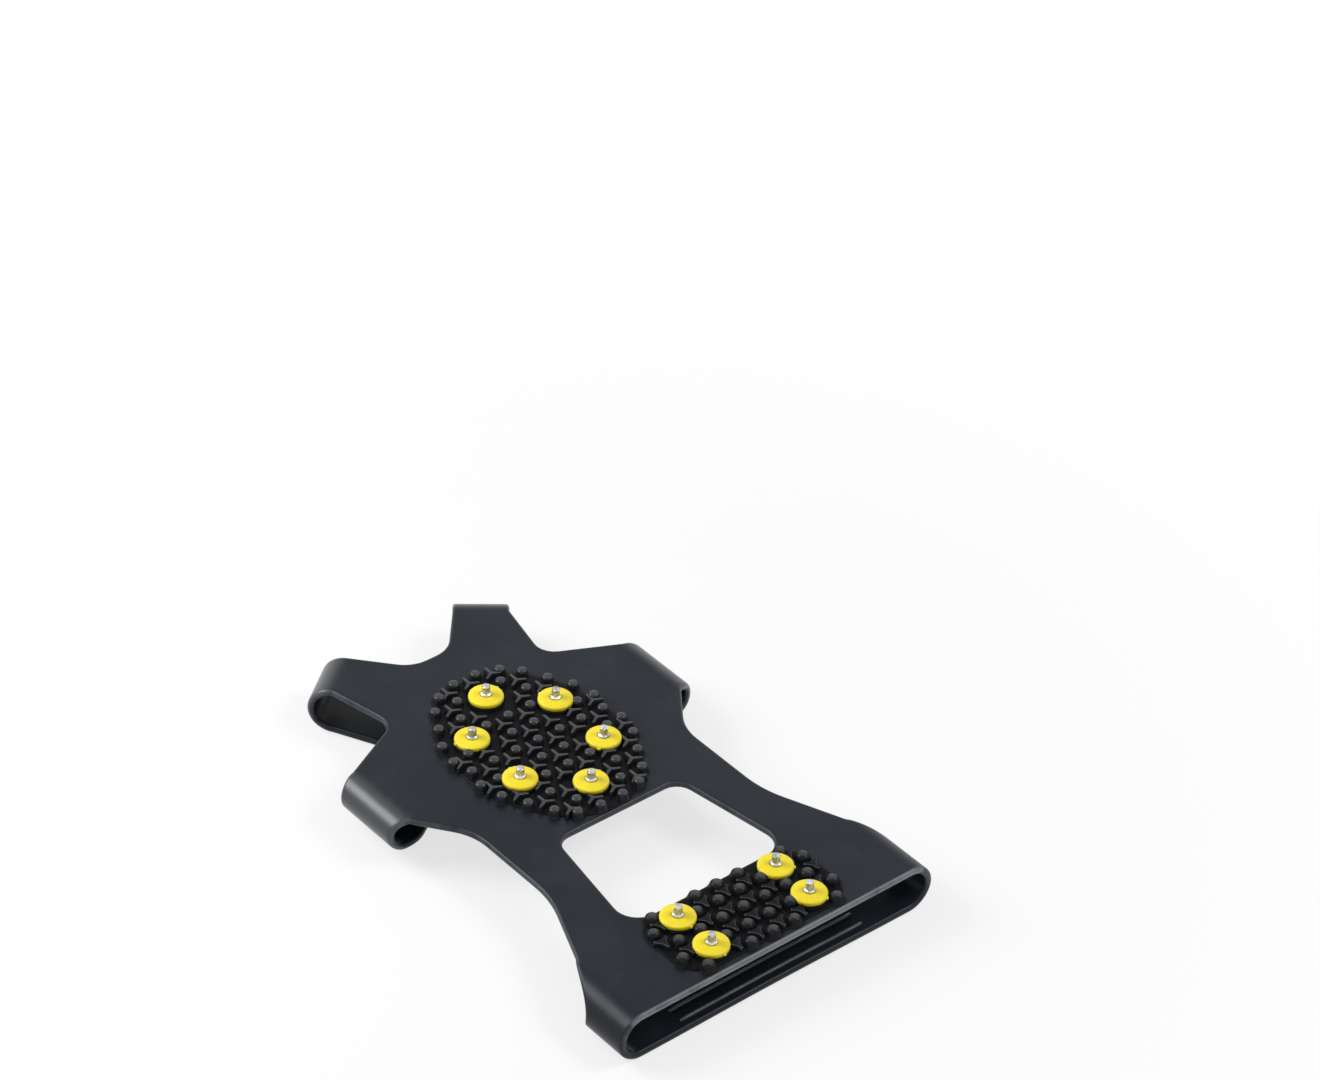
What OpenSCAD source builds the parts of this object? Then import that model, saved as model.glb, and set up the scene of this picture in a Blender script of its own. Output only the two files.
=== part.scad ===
// Pull-on ice cleat: a moulded rubber overshoe for one boot, with studs under forefoot and heel.
// It lies with the studs up. +Z is up, +Y points to the toe and X runs across. Sizes are in mm.
// The origin is on the floor in the middle of the outer box.

/* [Overall] */
// Length from the rear edge of the heel to the tips of the toe straps
overall_length = 206; // [199:1:219]
// Width across the heel loop
overall_width = 130; // [128.5:0.5:140]
// Height of the toe and heel loops from the floor to the outer face of the sole
loop_height = 18; // [17:0.5:20]
// Thickness of the moulded rubber
rubber = 2.6; // [2.2:0.1:3.2]

/* [Forefoot sole] */
// Distance from the toe strap tips back to the centre of the forefoot tread
toe_to_tread = 82.5; // [81:0.5:84]
// Width of a toe strap
toe_strap_width = 19.6; // [17.6:0.2:21]
// Angle of a toe strap away from straight ahead
toe_strap_angle = 37.5; // [35:0.5:41]
// Sideways distance from the centre line to the middle of a toe strap fold
toe_strap_side = 30; // [28.5:0.5:32]
// Depth of the front notch behind the toe strap tips
front_notch_depth = 23.9; // [21:0.1:25]
// Half width of the flat bottom of the front notch
front_notch_half = 7.5; // [6.5:0.5:8.5]
// Rounding of the bottom corners of the front notch
front_notch_round = 12; // [8:1:13]
// Sideways distance to the inner corner of a side notch
side_notch_side = 32; // [30:0.5:34]
// Distance from the tread centre forward to the inner corner of a side notch
side_notch_ahead = 38; // [36:0.5:40]
// Rounding of the inner corner of a side notch
side_notch_round = 7; // [5:0.5:9]
// Width of a side wing where its fold begins
wing_width = 31; // [29:0.5:33]
// Width of a side wing at its outermost line
wing_edge_width = 27; // [24:0.5:28.5]
// Distance from the tread centre forward to the middle of a wing
wing_ahead = 10; // [9:0.5:11.5]
// Width across the side wings
wing_span = 128; // [124:0.5:128.5]
// Height of the loops under the side wings
wing_loop_height = 13.5; // [12:0.5:15]

/* [Waist] */
// Width across the two waist straps
waist_width = 89; // [86:0.5:93]
// Distance from the tread centre back to where the waist becomes narrow
waist_start = 22.5; // [21:0.5:25]
// Distance from the rear edge of the heel forward to where the waist begins to widen
waist_end = 61; // [59:0.5:64]
// Rounding behind the wings
waist_front_round = 20; // [14:1:22]
// Rounding in front of the heel
waist_rear_round = 40; // [25:1:45]
// Distance from the tread centre back to the front edge of the sole window
window_start = 42; // [41.8:0.1:44]
// Distance from the rear edge of the heel forward to the sole window
heel_plate_length = 35; // [34.8:0.1:37]
// Width of the sole window at its front edge
window_front_width = 51; // [48:0.5:54]
// Width of the sole window at its rear edge
window_rear_width = 66; // [62:0.5:68]
// Rounding of the front corners of the sole window
window_front_round = 6; // [4:0.5:8]
// Rounding of the rear corners of the sole window
window_rear_round = 8; // [5:0.5:10]
// Position of the bend line across the waist straps, behind the tread centre
waist_bend = 54; // [52:0.5:58]
// Gap between the rounded strap ends at the bend line
waist_gap = 0.8; // [0.7:0.05:0.9]

/* [Toe rim] */
// Rounding of the rim behind its toe tabs
rim_notch_round = 8; // [5:0.5:10]
// Sideways distance to the inner corner of a rim notch
rim_notch_side = 26; // [25:0.5:28]
// Distance from the tread centre forward to the inner corner of a rim notch
rim_notch_ahead = 40.5; // [39.5:0.5:42]
// Width of the rim where it joins a wing
rim_wing_width = 28.5; // [26:0.5:30]
// Half width of the foot opening
foot_opening_half = 36; // [33:0.5:37]
// Length of the rounded front of the foot opening
foot_opening_round = 36; // [32:0.5:38]
// Distance from the tread centre forward to the middle of the foot opening's curve
foot_opening_ahead = 6; // [4:0.5:8]
// Half width of the foot opening at the rear of the rim, where it flares out to the wings
foot_mouth_half = 52; // [50:0.5:53]
// Length of the slope by which the rim comes down to the floor ahead of the wings
rim_slope = 15; // [12:0.5:18]
// Gap between a rim or band and the fold that carries it
fold_gap = 0.4; // [0.35:0.05:0.5]

/* [Heel] */
// Length of the heel fold along the edge of the sole
heel_fold_width = 33.5; // [31:0.5:35]
// Length of the heel fold at its outermost line
heel_edge_width = 18; // [16:0.5:20]
// Width of the heel band from front to back
heel_band_width = 21.5; // [20:0.5:24]
// Height by which the heel band bows up in its middle
band_bow = 0.5; // [0:0.5:4]
// Length of the two grip ribs on the heel band
band_rib_length = 76; // [60:1:90]
// Width of a grip rib
band_rib_width = 0.9; // [0.6:0.1:1.2]
// Height of a grip rib
band_rib_height = 0.6; // [0.4:0.1:0.9]
// Distance between the grip ribs
band_rib_spacing = 5.5; // [3:0.5:7]
// Distance of the rear rib from the rear edge of the band
band_rib_inset = 3.5; // [2:0.5:8]

/* [Tread] */
// Length of the oval forefoot tread
tread_length = 83; // [80:0.5:84]
// Width of the oval forefoot tread
tread_width = 61; // [57:0.5:64]
// Thickness of the tread skin under the pegs
tread_skin = 0.6; // [0.4:0.1:0.9]
// Distance between neighbouring pegs
peg_pitch = 9.2; // [9:0.1:9.8]
// Height of the forefoot pegs above the tread skin
peg_height = 2.4; // [2:0.1:2.8]
// Diameter of a forefoot peg at its foot
peg_foot = 4; // [3.6:0.1:4.2]
// Diameter of a forefoot peg at its top
peg_top = 3; // [2.6:0.1:3.3]
// Length of an arm of the three-armed ridges
ridge_arm = 3.3; // [2.6:0.1:3.5]
// Width of an arm of the three-armed ridges
ridge_width = 1; // [0.8:0.1:1.2]
// Height of the three-armed ridges above the tread skin
ridge_height = 1.9; // [1.4:0.1:2.2]
// Width of the heel tread
heel_tread_width = 68; // [66:0.5:72]
// Length of the heel tread
heel_tread_length = 29; // [28:0.5:32]
// Rounding of the heel tread corners
heel_tread_round = 10; // [6:0.5:12]
// Height of the heel tread web above the tread skin
web_height = 1.6; // [1.2:0.1:2]
// Distance between neighbouring heel pegs
heel_pitch = 8.9; // [8.7:0.1:9.2]
// Diameter of a round cell in the heel tread web
cell_diameter = 7.8; // [7.4:0.1:8.2]
// Diameter of a heel peg at its foot
heel_peg_foot = 4.8; // [4.4:0.1:5.2]
// Diameter of a heel peg at its top
heel_peg_top = 3.4; // [3:0.1:3.8]

/* [Studs] */
// Distance of the centre line studs from the tread centre
stud_end = 28; // [27:0.2:29]
// Sideways distance of the corner studs
stud_side = 17.6; // [16.8:0.2:18.4]
// Distance of the corner studs ahead of and behind the tread centre
stud_corner = 12.8; // [12:0.2:13.6]
// Distance from the rear edge of the heel forward to the middle of the heel studs
heel_stud_ahead = 18.5; // [17.6:0.1:19.4]
// Sideways distance of the heel studs
heel_stud_side = 20.4; // [19.6:0.2:21.4]
// Half the distance between the front and rear heel studs
heel_stud_half = 8.2; // [7.8:0.1:8.4]
// Diameter of a plastic stud disc
disc_diameter = 12; // [11.4:0.2:12.6]
// Thickness of a stud disc at its rim
disc_rim = 1.6; // [1.3:0.1:1.9]
// Extra height of a stud disc at its middle
disc_crown = 0.5; // [0.3:0.1:0.7]
// Bevel at the rim of a stud disc
disc_bevel = 0.4; // [0.2:0.05:0.5]
// Height of the round seat that carries a disc, above the tread skin
seat_height = 0.8; // [0.6:0.1:1]
// Distance that the round seat reaches beyond its disc
seat_margin = 0.4; // [0.2:0.1:0.6]
// Diameter of the steel shank
shank_diameter = 3; // [2.6:0.1:3.2]
// Diameter of the steel collar on a disc
collar_diameter = 4; // [3.8:0.1:4.4]
// Height of the steel collar
collar_height = 0.7; // [0.5:0.1:1]
// Diameter of the steel tip
tip_diameter = 2.4; // [2.2:0.1:2.6]
// Height of the steel tip above its collar
tip_height = 2.9; // [2.4:0.1:3.4]
// Bevel at the end of the steel tip
tip_bevel = 0.4; // [0.2:0.1:0.6]
// Diameter of the steel base plate inside the sole
base_diameter = 8.4; // [7.6:0.2:9]
// Thickness of the steel base plate
base_thickness = 0.9; // [0.7:0.1:1.1]
// Radial clearance around shank and base plate
stud_clearance = 0.05; // [0.03:0.01:0.08]

/* [Hidden] */
$fn = 48;
half_length = overall_length / 2;
half_width = overall_width / 2;
loop_r = loop_height / 2;
fold_x = half_width - loop_r;
wing_r = wing_loop_height / 2;
wing_x = wing_span / 2 - wing_r;
wing_lift = loop_height - wing_loop_height;
sole_under = loop_height - rubber;
skin_top = loop_height + tread_skin;
disc_seat = skin_top + seat_height;
disc_r = disc_diameter / 2;
disc_top = disc_seat + disc_rim + disc_crown;
heel_edge_y = -half_length;
toe_out = [sin(toe_strap_angle), cos(toe_strap_angle)];
toe_along = [cos(toe_strap_angle), -sin(toe_strap_angle)];
toe_fold_y = half_length - loop_r * toe_out.y + toe_along.y * toe_strap_width / 2;
toe_fold = [toe_strap_side, toe_fold_y];
toe_inner = toe_fold - toe_along * toe_strap_width / 2;
toe_outer = toe_fold + toe_along * toe_strap_width / 2;
notch_y = half_length - front_notch_depth;
tread_y = half_length - toe_to_tread;
wing_y = tread_y + wing_ahead;
heel_tread_y = heel_edge_y + heel_stud_ahead;
bend_y = tread_y - waist_bend;
seat_r = disc_r + seat_margin;
arc_steps = 8;
bow_steps = 12;
fold_root = 1;
fold_lap = 0.5;
fold_inset = 0.1;
eps = 0.01;

FRONT_STUDS = [
    [0, stud_end],
    [stud_side, stud_corner],
    [stud_side, -stud_corner],
    [0, -stud_end],
    [-stud_side, -stud_corner],
    [-stud_side, stud_corner],
];
HEEL_STUDS = [for (y = [1, -1], x = [1, -1]) [x * heel_stud_side, y * heel_stud_half]];
STUDS = concat(
    [for (p = FRONT_STUDS) p + [0, tread_y]],
    [for (p = HEEL_STUDS) p + [0, heel_tread_y]]
);

function unit(v) = v / norm(v);
function turned(v, a) = [v.x * cos(a) - v.y * sin(a), v.x * sin(a) + v.y * cos(a)];
function flipped(p) = [for (i = [len(p) - 1:-1:0]) [-p[i].x, p[i].y, p[i][2]]];

// One corner of an outline, replaced by an arc of radius r between its two sides
function corner(a, b, c, r) =
    r == 0 ? [b] :
    let (
        u = unit(a - b),
        v = unit(c - b),
        half = acos(u * v) / 2,
        middle = b + unit(u + v) * r / sin(half),
        start = b + u * r / tan(half) - middle,
        way = cross(b - a, c - b) > 0 ? 1 : -1
    )
    [for (i = [0:arc_steps]) middle + turned(start, way * (180 - 2 * half) * i / arc_steps)];

// A closed outline from corners given as [x, y, rounding]
function rounded(p) =
    let (n = len(p), q = [for (c = p) [c.x, c.y]])
    [for (i = [0:n - 1]) each corner(q[(i + n - 1) % n], q[i], q[(i + 1) % n], p[i][2])];

// Right half of the flat sole, from the front notch back to the heel
SOLE_HALF = [
    [front_notch_half, notch_y, front_notch_round],
    [toe_inner.x - fold_lap * toe_out.x, toe_inner.y - fold_lap * toe_out.y, 0],
    [toe_outer.x - fold_lap * toe_out.x, toe_outer.y - fold_lap * toe_out.y, 0],
    [side_notch_side, tread_y + side_notch_ahead, side_notch_round],
    [wing_x, wing_y + wing_width / 2, 0],
    [wing_x, wing_y - wing_width / 2, 0],
    [waist_width / 2, tread_y - waist_start, waist_front_round],
    [waist_width / 2, heel_edge_y + waist_end, waist_rear_round],
    [fold_x, heel_edge_y + heel_fold_width, 0],
    [fold_x, heel_edge_y, 0],
];
WINDOW_HALF = [
    [window_front_width / 2, tread_y - window_start, window_front_round],
    [window_rear_width / 2, heel_edge_y + heel_plate_length, window_rear_round],
];
// Right half of the rim outside the foot opening
RIM_HALF = [
    [front_notch_half, notch_y, front_notch_round],
    [toe_inner.x - fold_gap * toe_out.x, toe_inner.y - fold_gap * toe_out.y, 0],
    [toe_outer.x - fold_gap * toe_out.x, toe_outer.y - fold_gap * toe_out.y, 0],
    [rim_notch_side, tread_y + rim_notch_ahead, rim_notch_round],
    [wing_x - fold_gap, wing_y + rim_wing_width / 2, 0],
    [wing_x - fold_gap, wing_y - rim_wing_width / 2, 0],
];

module sole_prism() {
    linear_extrude(height = loop_height)
        difference() {
            polygon(rounded(concat(SOLE_HALF, flipped(SOLE_HALF))));
            polygon(rounded(concat(WINDOW_HALF, flipped(WINDOW_HALF))));
        }
}

function arc(r, from, to) =
    [for (i = [0:arc_steps]) let (a = from + (to - from) * i / arc_steps) [r * cos(a), r * sin(a)]];

// A flat rubber slab from the bend line forward (way = 1) or back (way = -1), with a round end
module bend_slab(way) {
    end_y = bend_y + way * (waist_gap + rubber) / 2;
    nose = [for (p = arc(rubber / 2, 90, 270)) [end_y + way * p.x, loop_height - rubber / 2 + p.y]];
    far_y = end_y + way * overall_length;
    translate([-half_width, 0, 0])
        rotate([90, 0, 90])
            linear_extrude(height = overall_width)
                polygon(concat(nose, [[far_y, sole_under], [far_y, loop_height]]));
}

// Section of the upper or lower half of a rolled edge; the upper one is rooted in the sole
module fold_profile(top, outer_r) {
    inner_r = outer_r - rubber;
    root = [[-fold_root, outer_r], [-fold_root, inner_r]];
    if (top)
        polygon(concat(arc(inner_r, 90, 0), arc(outer_r, 0, 90), root));
    else
        polygon(concat(arc(inner_r, 0, -90), arc(outer_r, -90, 0)));
}

// Half of a rolled edge that starts along the local Y axis and bulges towards +X.
// The spans are where it begins and ends: along the flat edge and along its outermost line.
module fold_half(top, outer_r, flat_span, edge_span) {
    inner_r = outer_r - rubber;
    intersection() {
        translate([0, 0, loop_height - outer_r])
            rotate([90, 0, 0])
                linear_extrude(height = overall_length, center = true)
                    fold_profile(top, outer_r);
        linear_extrude(height = loop_height)
            polygon([
                [-fold_root, flat_span[0]],
                [0, flat_span[0]],
                [inner_r, edge_span[0]],
                [loop_height, edge_span[0]],
                [loop_height, edge_span[1]],
                [inner_r, edge_span[1]],
                [0, flat_span[1]],
                [-fold_root, flat_span[1]],
            ]);
    }
}

module fold(outer_r, sole_span, edge_span, band_span) {
    fold_half(true, outer_r, sole_span, edge_span);
    fold_half(false, outer_r, band_span, edge_span);
}

module both_sides() {
    children();
    mirror([1, 0, 0])
        children();
}

function span(middle, width) = [middle - width / 2, middle + width / 2];

module toe_fold_piece() {
    whole = span(0, toe_strap_width - 2 * fold_inset);
    translate([toe_fold.x, toe_fold.y, 0])
        rotate([0, 0, 90 - toe_strap_angle])
            fold(loop_r, whole, whole, whole);
}

module wing_fold_piece() {
    translate([wing_x, 0, 0])
        fold(
            wing_r,
            span(wing_y, wing_width),
            span(wing_y, wing_edge_width),
            span(wing_y, rim_wing_width)
        );
}

module heel_fold_piece() {
    rear = heel_edge_y;
    translate([fold_x, 0, 0])
        fold(
            loop_r,
            [rear, rear + heel_fold_width],
            [rear, rear + heel_edge_width],
            [rear, rear + heel_band_width]
        );
}

// Bores for the shank and recess for the base plate of each listed stud
module stud_bores(first, last) {
    for (i = [first:last])
        translate([STUDS[i].x, STUDS[i].y, sole_under]) {
            cylinder(d = shank_diameter + 2 * stud_clearance, h = loop_height);
            translate([0, 0, -rubber])
                cylinder(d = base_diameter + 2 * stud_clearance, h = rubber + base_thickness);
        }
}

module forefoot_sole() {
    color([0.17, 0.19, 0.22])
        difference() {
            union() {
                intersection() {
                    sole_prism();
                    bend_slab(1);
                }
                both_sides() {
                    toe_fold_piece();
                    wing_fold_piece();
                }
            }
            stud_bores(0, 5);
        }
}

module heel_sole() {
    color([0.17, 0.19, 0.22])
        difference() {
            union() {
                intersection() {
                    sole_prism();
                    bend_slab(-1);
                }
                both_sides()
                    heel_fold_piece();
            }
            stud_bores(6, 9);
        }
}

// Side view of the rim: raised under the wings, then down a slope to the floor under the toe
module rim_section() {
    high_y = wing_y + rim_wing_width / 2 + rubber;
    low_y = high_y + rim_slope;
    lean = rubber * tan(atan(wing_lift / rim_slope) / 2);
    translate([-half_width, 0, 0])
        rotate([90, 0, 90])
            linear_extrude(height = overall_width)
                polygon([
                    [-half_length, wing_lift],
                    [high_y, wing_lift],
                    [low_y, 0],
                    [half_length, 0],
                    [half_length, rubber],
                    [low_y + lean, rubber],
                    [high_y + lean, wing_lift + rubber],
                    [-half_length, wing_lift + rubber],
                ]);
}

// Lower U-shaped band that goes over the boot's toe cap
module toe_rim() {
    opening_y = tread_y + foot_opening_ahead;
    rear_y = wing_y - rim_wing_width / 2;
    flare = (foot_mouth_half - foot_opening_half) / (opening_y - rear_y);
    mouth = [foot_mouth_half + flare * rubber, rear_y - rubber];
    opening = [
        for (a = [0:7.5:180])
            [foot_opening_half * cos(a), opening_y + foot_opening_round * sin(a)]
    ];
    color([0.17, 0.19, 0.22])
        intersection() {
            rim_section();
            linear_extrude(height = loop_height)
                difference() {
                    polygon(rounded(concat(RIM_HALF, flipped(RIM_HALF))));
                    polygon(concat(opening, [[-mouth.x, mouth.y], mouth]));
                }
        }
}

// A strip across the cleat that follows the bow of the heel band, from half length, between
// two heights above the bow and between two places along Y
module bowed_strip(half, low, high, from_y, to_y) {
    function bow(x) = band_bow * pow(cos(90 * x / fold_x), 2);
    places = [for (i = [-bow_steps:bow_steps]) i * half / bow_steps];
    under = [for (x = places) [x, bow(x) + low]];
    over = [for (i = [len(places) - 1:-1:0]) [places[i], bow(places[i]) + high]];
    translate([0, to_y, 0])
        rotate([90, 0, 0])
            linear_extrude(height = to_y - from_y)
                polygon(concat(under, over));
}

// Lower band that goes round the boot's heel, with two grip ribs on its inner face
module heel_band() {
    color([0.17, 0.19, 0.22])
        union() {
            bowed_strip(fold_x - fold_gap, 0, rubber, heel_edge_y, heel_edge_y + heel_band_width);
            for (i = [0, 1]) {
                rib_y = heel_edge_y + band_rib_inset + i * band_rib_spacing;
                bowed_strip(
                    band_rib_length / 2,
                    rubber / 2,
                    rubber + band_rib_height,
                    rib_y - band_rib_width / 2,
                    rib_y + band_rib_width / 2
                );
            }
        }
}

function clear_of_studs(p, reach) =
    len([for (s = STUDS) if (norm(s - p) < seat_r + reach) s]) == 0;
function in_oval(p, margin) =
    pow(p.x / (tread_width / 2 - margin), 2)
    + pow((p.y - tread_y) / (tread_length / 2 - margin), 2) < 1;
function in_heel(p, margin) =
    abs(p.x) < heel_tread_width / 2 - margin
    && abs(p.y - heel_tread_y) < heel_tread_length / 2 - margin;

// Peg places in staggered rows about a middle point
function lattice(y, rows, across, pitch) = [
    for (j = [-rows:rows], i = [-across:across])
        [(i + (abs(j) % 2) / 2) * pitch, y + j * pitch * sqrt(3) / 2]
];

module stud_seats(first, last) {
    for (i = [first:last])
        translate([STUDS[i].x, STUDS[i].y, loop_height])
            cylinder(r = seat_r, h = tread_skin + seat_height);
}

module ridge() {
    for (a = [90, 210, 330])
        rotate([0, 0, a])
            translate([0, -ridge_width / 2, 0])
                cube([ridge_arm, ridge_width, ridge_height + eps]);
}

module forefoot_tread() {
    oval = [
        for (a = [0:6:354])
            [tread_width / 2 * cos(a), tread_y + tread_length / 2 * sin(a)]
    ];
    ridge_shift = [peg_pitch, peg_pitch / sqrt(3)];
    color([0.09, 0.1, 0.11])
        difference() {
            union() {
                translate([0, 0, loop_height])
                    linear_extrude(height = tread_skin)
                        polygon(oval);
                stud_seats(0, 5);
                for (p = lattice(tread_y, 5, 4, peg_pitch))
                    if (in_oval(p, peg_foot / 2) && clear_of_studs(p, peg_foot / 2))
                        translate([p.x, p.y, skin_top - eps])
                            cylinder(d1 = peg_foot, d2 = peg_top, h = peg_height + eps);
                for (p = lattice(tread_y, 5, 5, peg_pitch))
                    if (in_oval(p + ridge_shift, ridge_arm)
                            && clear_of_studs(p + ridge_shift, ridge_arm / 2))
                        translate([p.x + ridge_shift.x, p.y + ridge_shift.y, skin_top - eps])
                            ridge();
            }
            disc_pockets(0, 5);
        }
}

// Room above each seat for its disc, and the bore for its shank
module disc_pockets(first, last) {
    for (i = [first:last])
        translate([STUDS[i].x, STUDS[i].y, 0]) {
            translate([0, 0, disc_seat])
                cylinder(r = seat_r, h = loop_height);
            translate([0, 0, sole_under])
                cylinder(d = shank_diameter + 2 * stud_clearance, h = loop_height);
        }
}

module heel_tread() {
    half = [
        [heel_tread_width / 2, heel_tread_y + heel_tread_length / 2, heel_tread_round],
        [heel_tread_width / 2, heel_tread_y - heel_tread_length / 2, heel_tread_round],
    ];
    pegs = [
        for (p = lattice(heel_tread_y, 2, 4, heel_pitch))
            if (in_heel(p, heel_peg_foot / 2 + ridge_width) && clear_of_studs(p, heel_peg_foot / 2)) p
    ];
    color([0.09, 0.1, 0.11])
        difference() {
            union() {
                difference() {
                    translate([0, 0, loop_height])
                        linear_extrude(height = tread_skin + web_height)
                            polygon(rounded(concat(half, flipped(half))));
                    for (p = lattice(heel_tread_y, 2, 4, heel_pitch))
                        translate([p.x, p.y, skin_top])
                            cylinder(d = cell_diameter, h = loop_height);
                }
                stud_seats(6, 9);
                for (p = pegs)
                    translate([p.x, p.y, skin_top - eps])
                        cylinder(d1 = heel_peg_foot, d2 = heel_peg_top, h = peg_height + eps);
            }
            disc_pockets(6, 9);
        }
}

module stud_disc(i) {
    bore = shank_diameter / 2 + stud_clearance;
    top = disc_rim + disc_crown;
    color([0.97, 0.88, 0.12])
        translate([STUDS[i].x, STUDS[i].y, disc_seat])
            rotate_extrude()
                polygon([
                    [bore, 0],
                    [disc_r - disc_bevel, 0],
                    [disc_r, disc_bevel],
                    [disc_r, disc_rim - disc_bevel],
                    [disc_r - disc_bevel, disc_rim],
                    [collar_diameter / 2, top],
                    [bore, top],
                ]);
}

module stud_pin(i) {
    collar_top = disc_top + collar_height;
    tip_top = collar_top + tip_height;
    color([0.72, 0.73, 0.75])
        translate([STUDS[i].x, STUDS[i].y, 0])
            rotate_extrude()
                polygon([
                    [0, sole_under],
                    [base_diameter / 2, sole_under],
                    [base_diameter / 2, sole_under + base_thickness],
                    [shank_diameter / 2, sole_under + base_thickness],
                    [shank_diameter / 2, disc_top],
                    [collar_diameter / 2, disc_top],
                    [collar_diameter / 2, collar_top],
                    [tip_diameter / 2, collar_top],
                    [tip_diameter / 2, tip_top - tip_bevel],
                    [tip_diameter / 2 - tip_bevel, tip_top],
                    [0, tip_top],
                ]);
}

module stud_disc_1() stud_disc(0);
module stud_disc_2() stud_disc(1);
module stud_disc_3() stud_disc(2);
module stud_disc_4() stud_disc(3);
module stud_disc_5() stud_disc(4);
module stud_disc_6() stud_disc(5);
module stud_disc_7() stud_disc(6);
module stud_disc_8() stud_disc(7);
module stud_disc_9() stud_disc(8);
module stud_disc_10() stud_disc(9);
module stud_pin_1() stud_pin(0);
module stud_pin_2() stud_pin(1);
module stud_pin_3() stud_pin(2);
module stud_pin_4() stud_pin(3);
module stud_pin_5() stud_pin(4);
module stud_pin_6() stud_pin(5);
module stud_pin_7() stud_pin(6);
module stud_pin_8() stud_pin(7);
module stud_pin_9() stud_pin(8);
module stud_pin_10() stud_pin(9);

forefoot_sole();
toe_rim();
heel_sole();
heel_band();
forefoot_tread();
heel_tread();
stud_disc_1();
stud_disc_2();
stud_disc_3();
stud_disc_4();
stud_disc_5();
stud_disc_6();
stud_disc_7();
stud_disc_8();
stud_disc_9();
stud_disc_10();
stud_pin_1();
stud_pin_2();
stud_pin_3();
stud_pin_4();
stud_pin_5();
stud_pin_6();
stud_pin_7();
stud_pin_8();
stud_pin_9();
stud_pin_10();
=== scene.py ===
import math

import bmesh
import bpy
import numpy as np
from mathutils import Matrix, Vector
from mathutils.geometry import delaunay_2d_cdt


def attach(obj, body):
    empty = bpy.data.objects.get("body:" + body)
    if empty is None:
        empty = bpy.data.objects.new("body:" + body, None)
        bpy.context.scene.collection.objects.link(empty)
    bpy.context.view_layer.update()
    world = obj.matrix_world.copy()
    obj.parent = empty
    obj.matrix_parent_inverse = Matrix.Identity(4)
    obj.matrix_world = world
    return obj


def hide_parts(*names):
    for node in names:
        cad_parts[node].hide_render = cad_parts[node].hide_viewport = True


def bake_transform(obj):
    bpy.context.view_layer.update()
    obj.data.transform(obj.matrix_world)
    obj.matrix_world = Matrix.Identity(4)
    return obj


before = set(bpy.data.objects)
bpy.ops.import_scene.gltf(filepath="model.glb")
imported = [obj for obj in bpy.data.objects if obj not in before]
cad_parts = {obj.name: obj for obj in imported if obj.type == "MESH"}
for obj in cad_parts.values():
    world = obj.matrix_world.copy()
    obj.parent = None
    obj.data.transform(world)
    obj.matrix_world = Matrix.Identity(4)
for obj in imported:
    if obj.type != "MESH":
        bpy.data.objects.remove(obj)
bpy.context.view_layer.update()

MM = 0.001

# Sizes of the cleat in millimetres, the same as in its solids
RUBBER = 2.6
HALF_LENGTH, HALF_WIDTH = 103.0, 65.0
LOOP_HEIGHT, WING_LOOP_HEIGHT = 18.0, 13.5
LOOP_R, WING_R = LOOP_HEIGHT / 2, WING_LOOP_HEIGHT / 2
WING_LIFT = LOOP_HEIGHT - WING_LOOP_HEIGHT
HALF_WING_SPAN = 64.0
FOLD_X = HALF_WIDTH - LOOP_R
WING_X = HALF_WING_SPAN - WING_R
TOE_TO_TREAD, HEEL_TO_TREAD = 82.5, 18.5
TREAD_Y = HALF_LENGTH - TOE_TO_TREAD
HEEL_EDGE_Y = -HALF_LENGTH
HEEL_TREAD_Y = HEEL_EDGE_Y + HEEL_TO_TREAD

# Toe straps and the notches beside them
TOE_ANGLE = math.radians(37.5)
TOE_OUT = np.array([math.sin(TOE_ANGLE), math.cos(TOE_ANGLE)])
TOE_ALONG = np.array([math.cos(TOE_ANGLE), -math.sin(TOE_ANGLE)])
TOE_WIDTH, TOE_SIDE = 19.6, 30.0
TOE_FOLD_Y = HALF_LENGTH - LOOP_R * TOE_OUT[1] + TOE_ALONG[1] * TOE_WIDTH / 2
TOE_FOLD = np.array([TOE_SIDE, TOE_FOLD_Y])
TOE_INNER = TOE_FOLD - TOE_ALONG * TOE_WIDTH / 2
TOE_OUTER = TOE_FOLD + TOE_ALONG * TOE_WIDTH / 2
NOTCH_HALF, NOTCH_DEPTH, NOTCH_ROUND = 7.5, 23.9, 12.0
NOTCH_Y = HALF_LENGTH - NOTCH_DEPTH
SIDE_NOTCH_X, SIDE_NOTCH_AHEAD, SIDE_NOTCH_ROUND = 32.0, 38.0, 7.0
RIM_NOTCH_X, RIM_NOTCH_AHEAD, RIM_NOTCH_ROUND = 26.0, 40.5, 8.0

# Wings and the toe rim with its opening
WING_AHEAD, WING_WIDTH, WING_EDGE = 10.0, 31.0, 27.0
WING_Y = TREAD_Y + WING_AHEAD
RIM_WING = 28.5
RIM_FRONT_Y, RIM_REAR_Y = WING_Y + RIM_WING / 2, WING_Y - RIM_WING / 2
RIM_SLOPE, SLOPE_EASE = 15.0, 1.5
OPENING_HALF, OPENING_AHEAD, OPENING_ROUND = 36.0, 6.0, 8.0
OPENING_Y = TREAD_Y + OPENING_AHEAD
OPENING_START, OPENING_POINTS = math.radians(12), 28
MOUTH_HALF, MOUTH_ROUND = 52.0, 14.0

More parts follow.
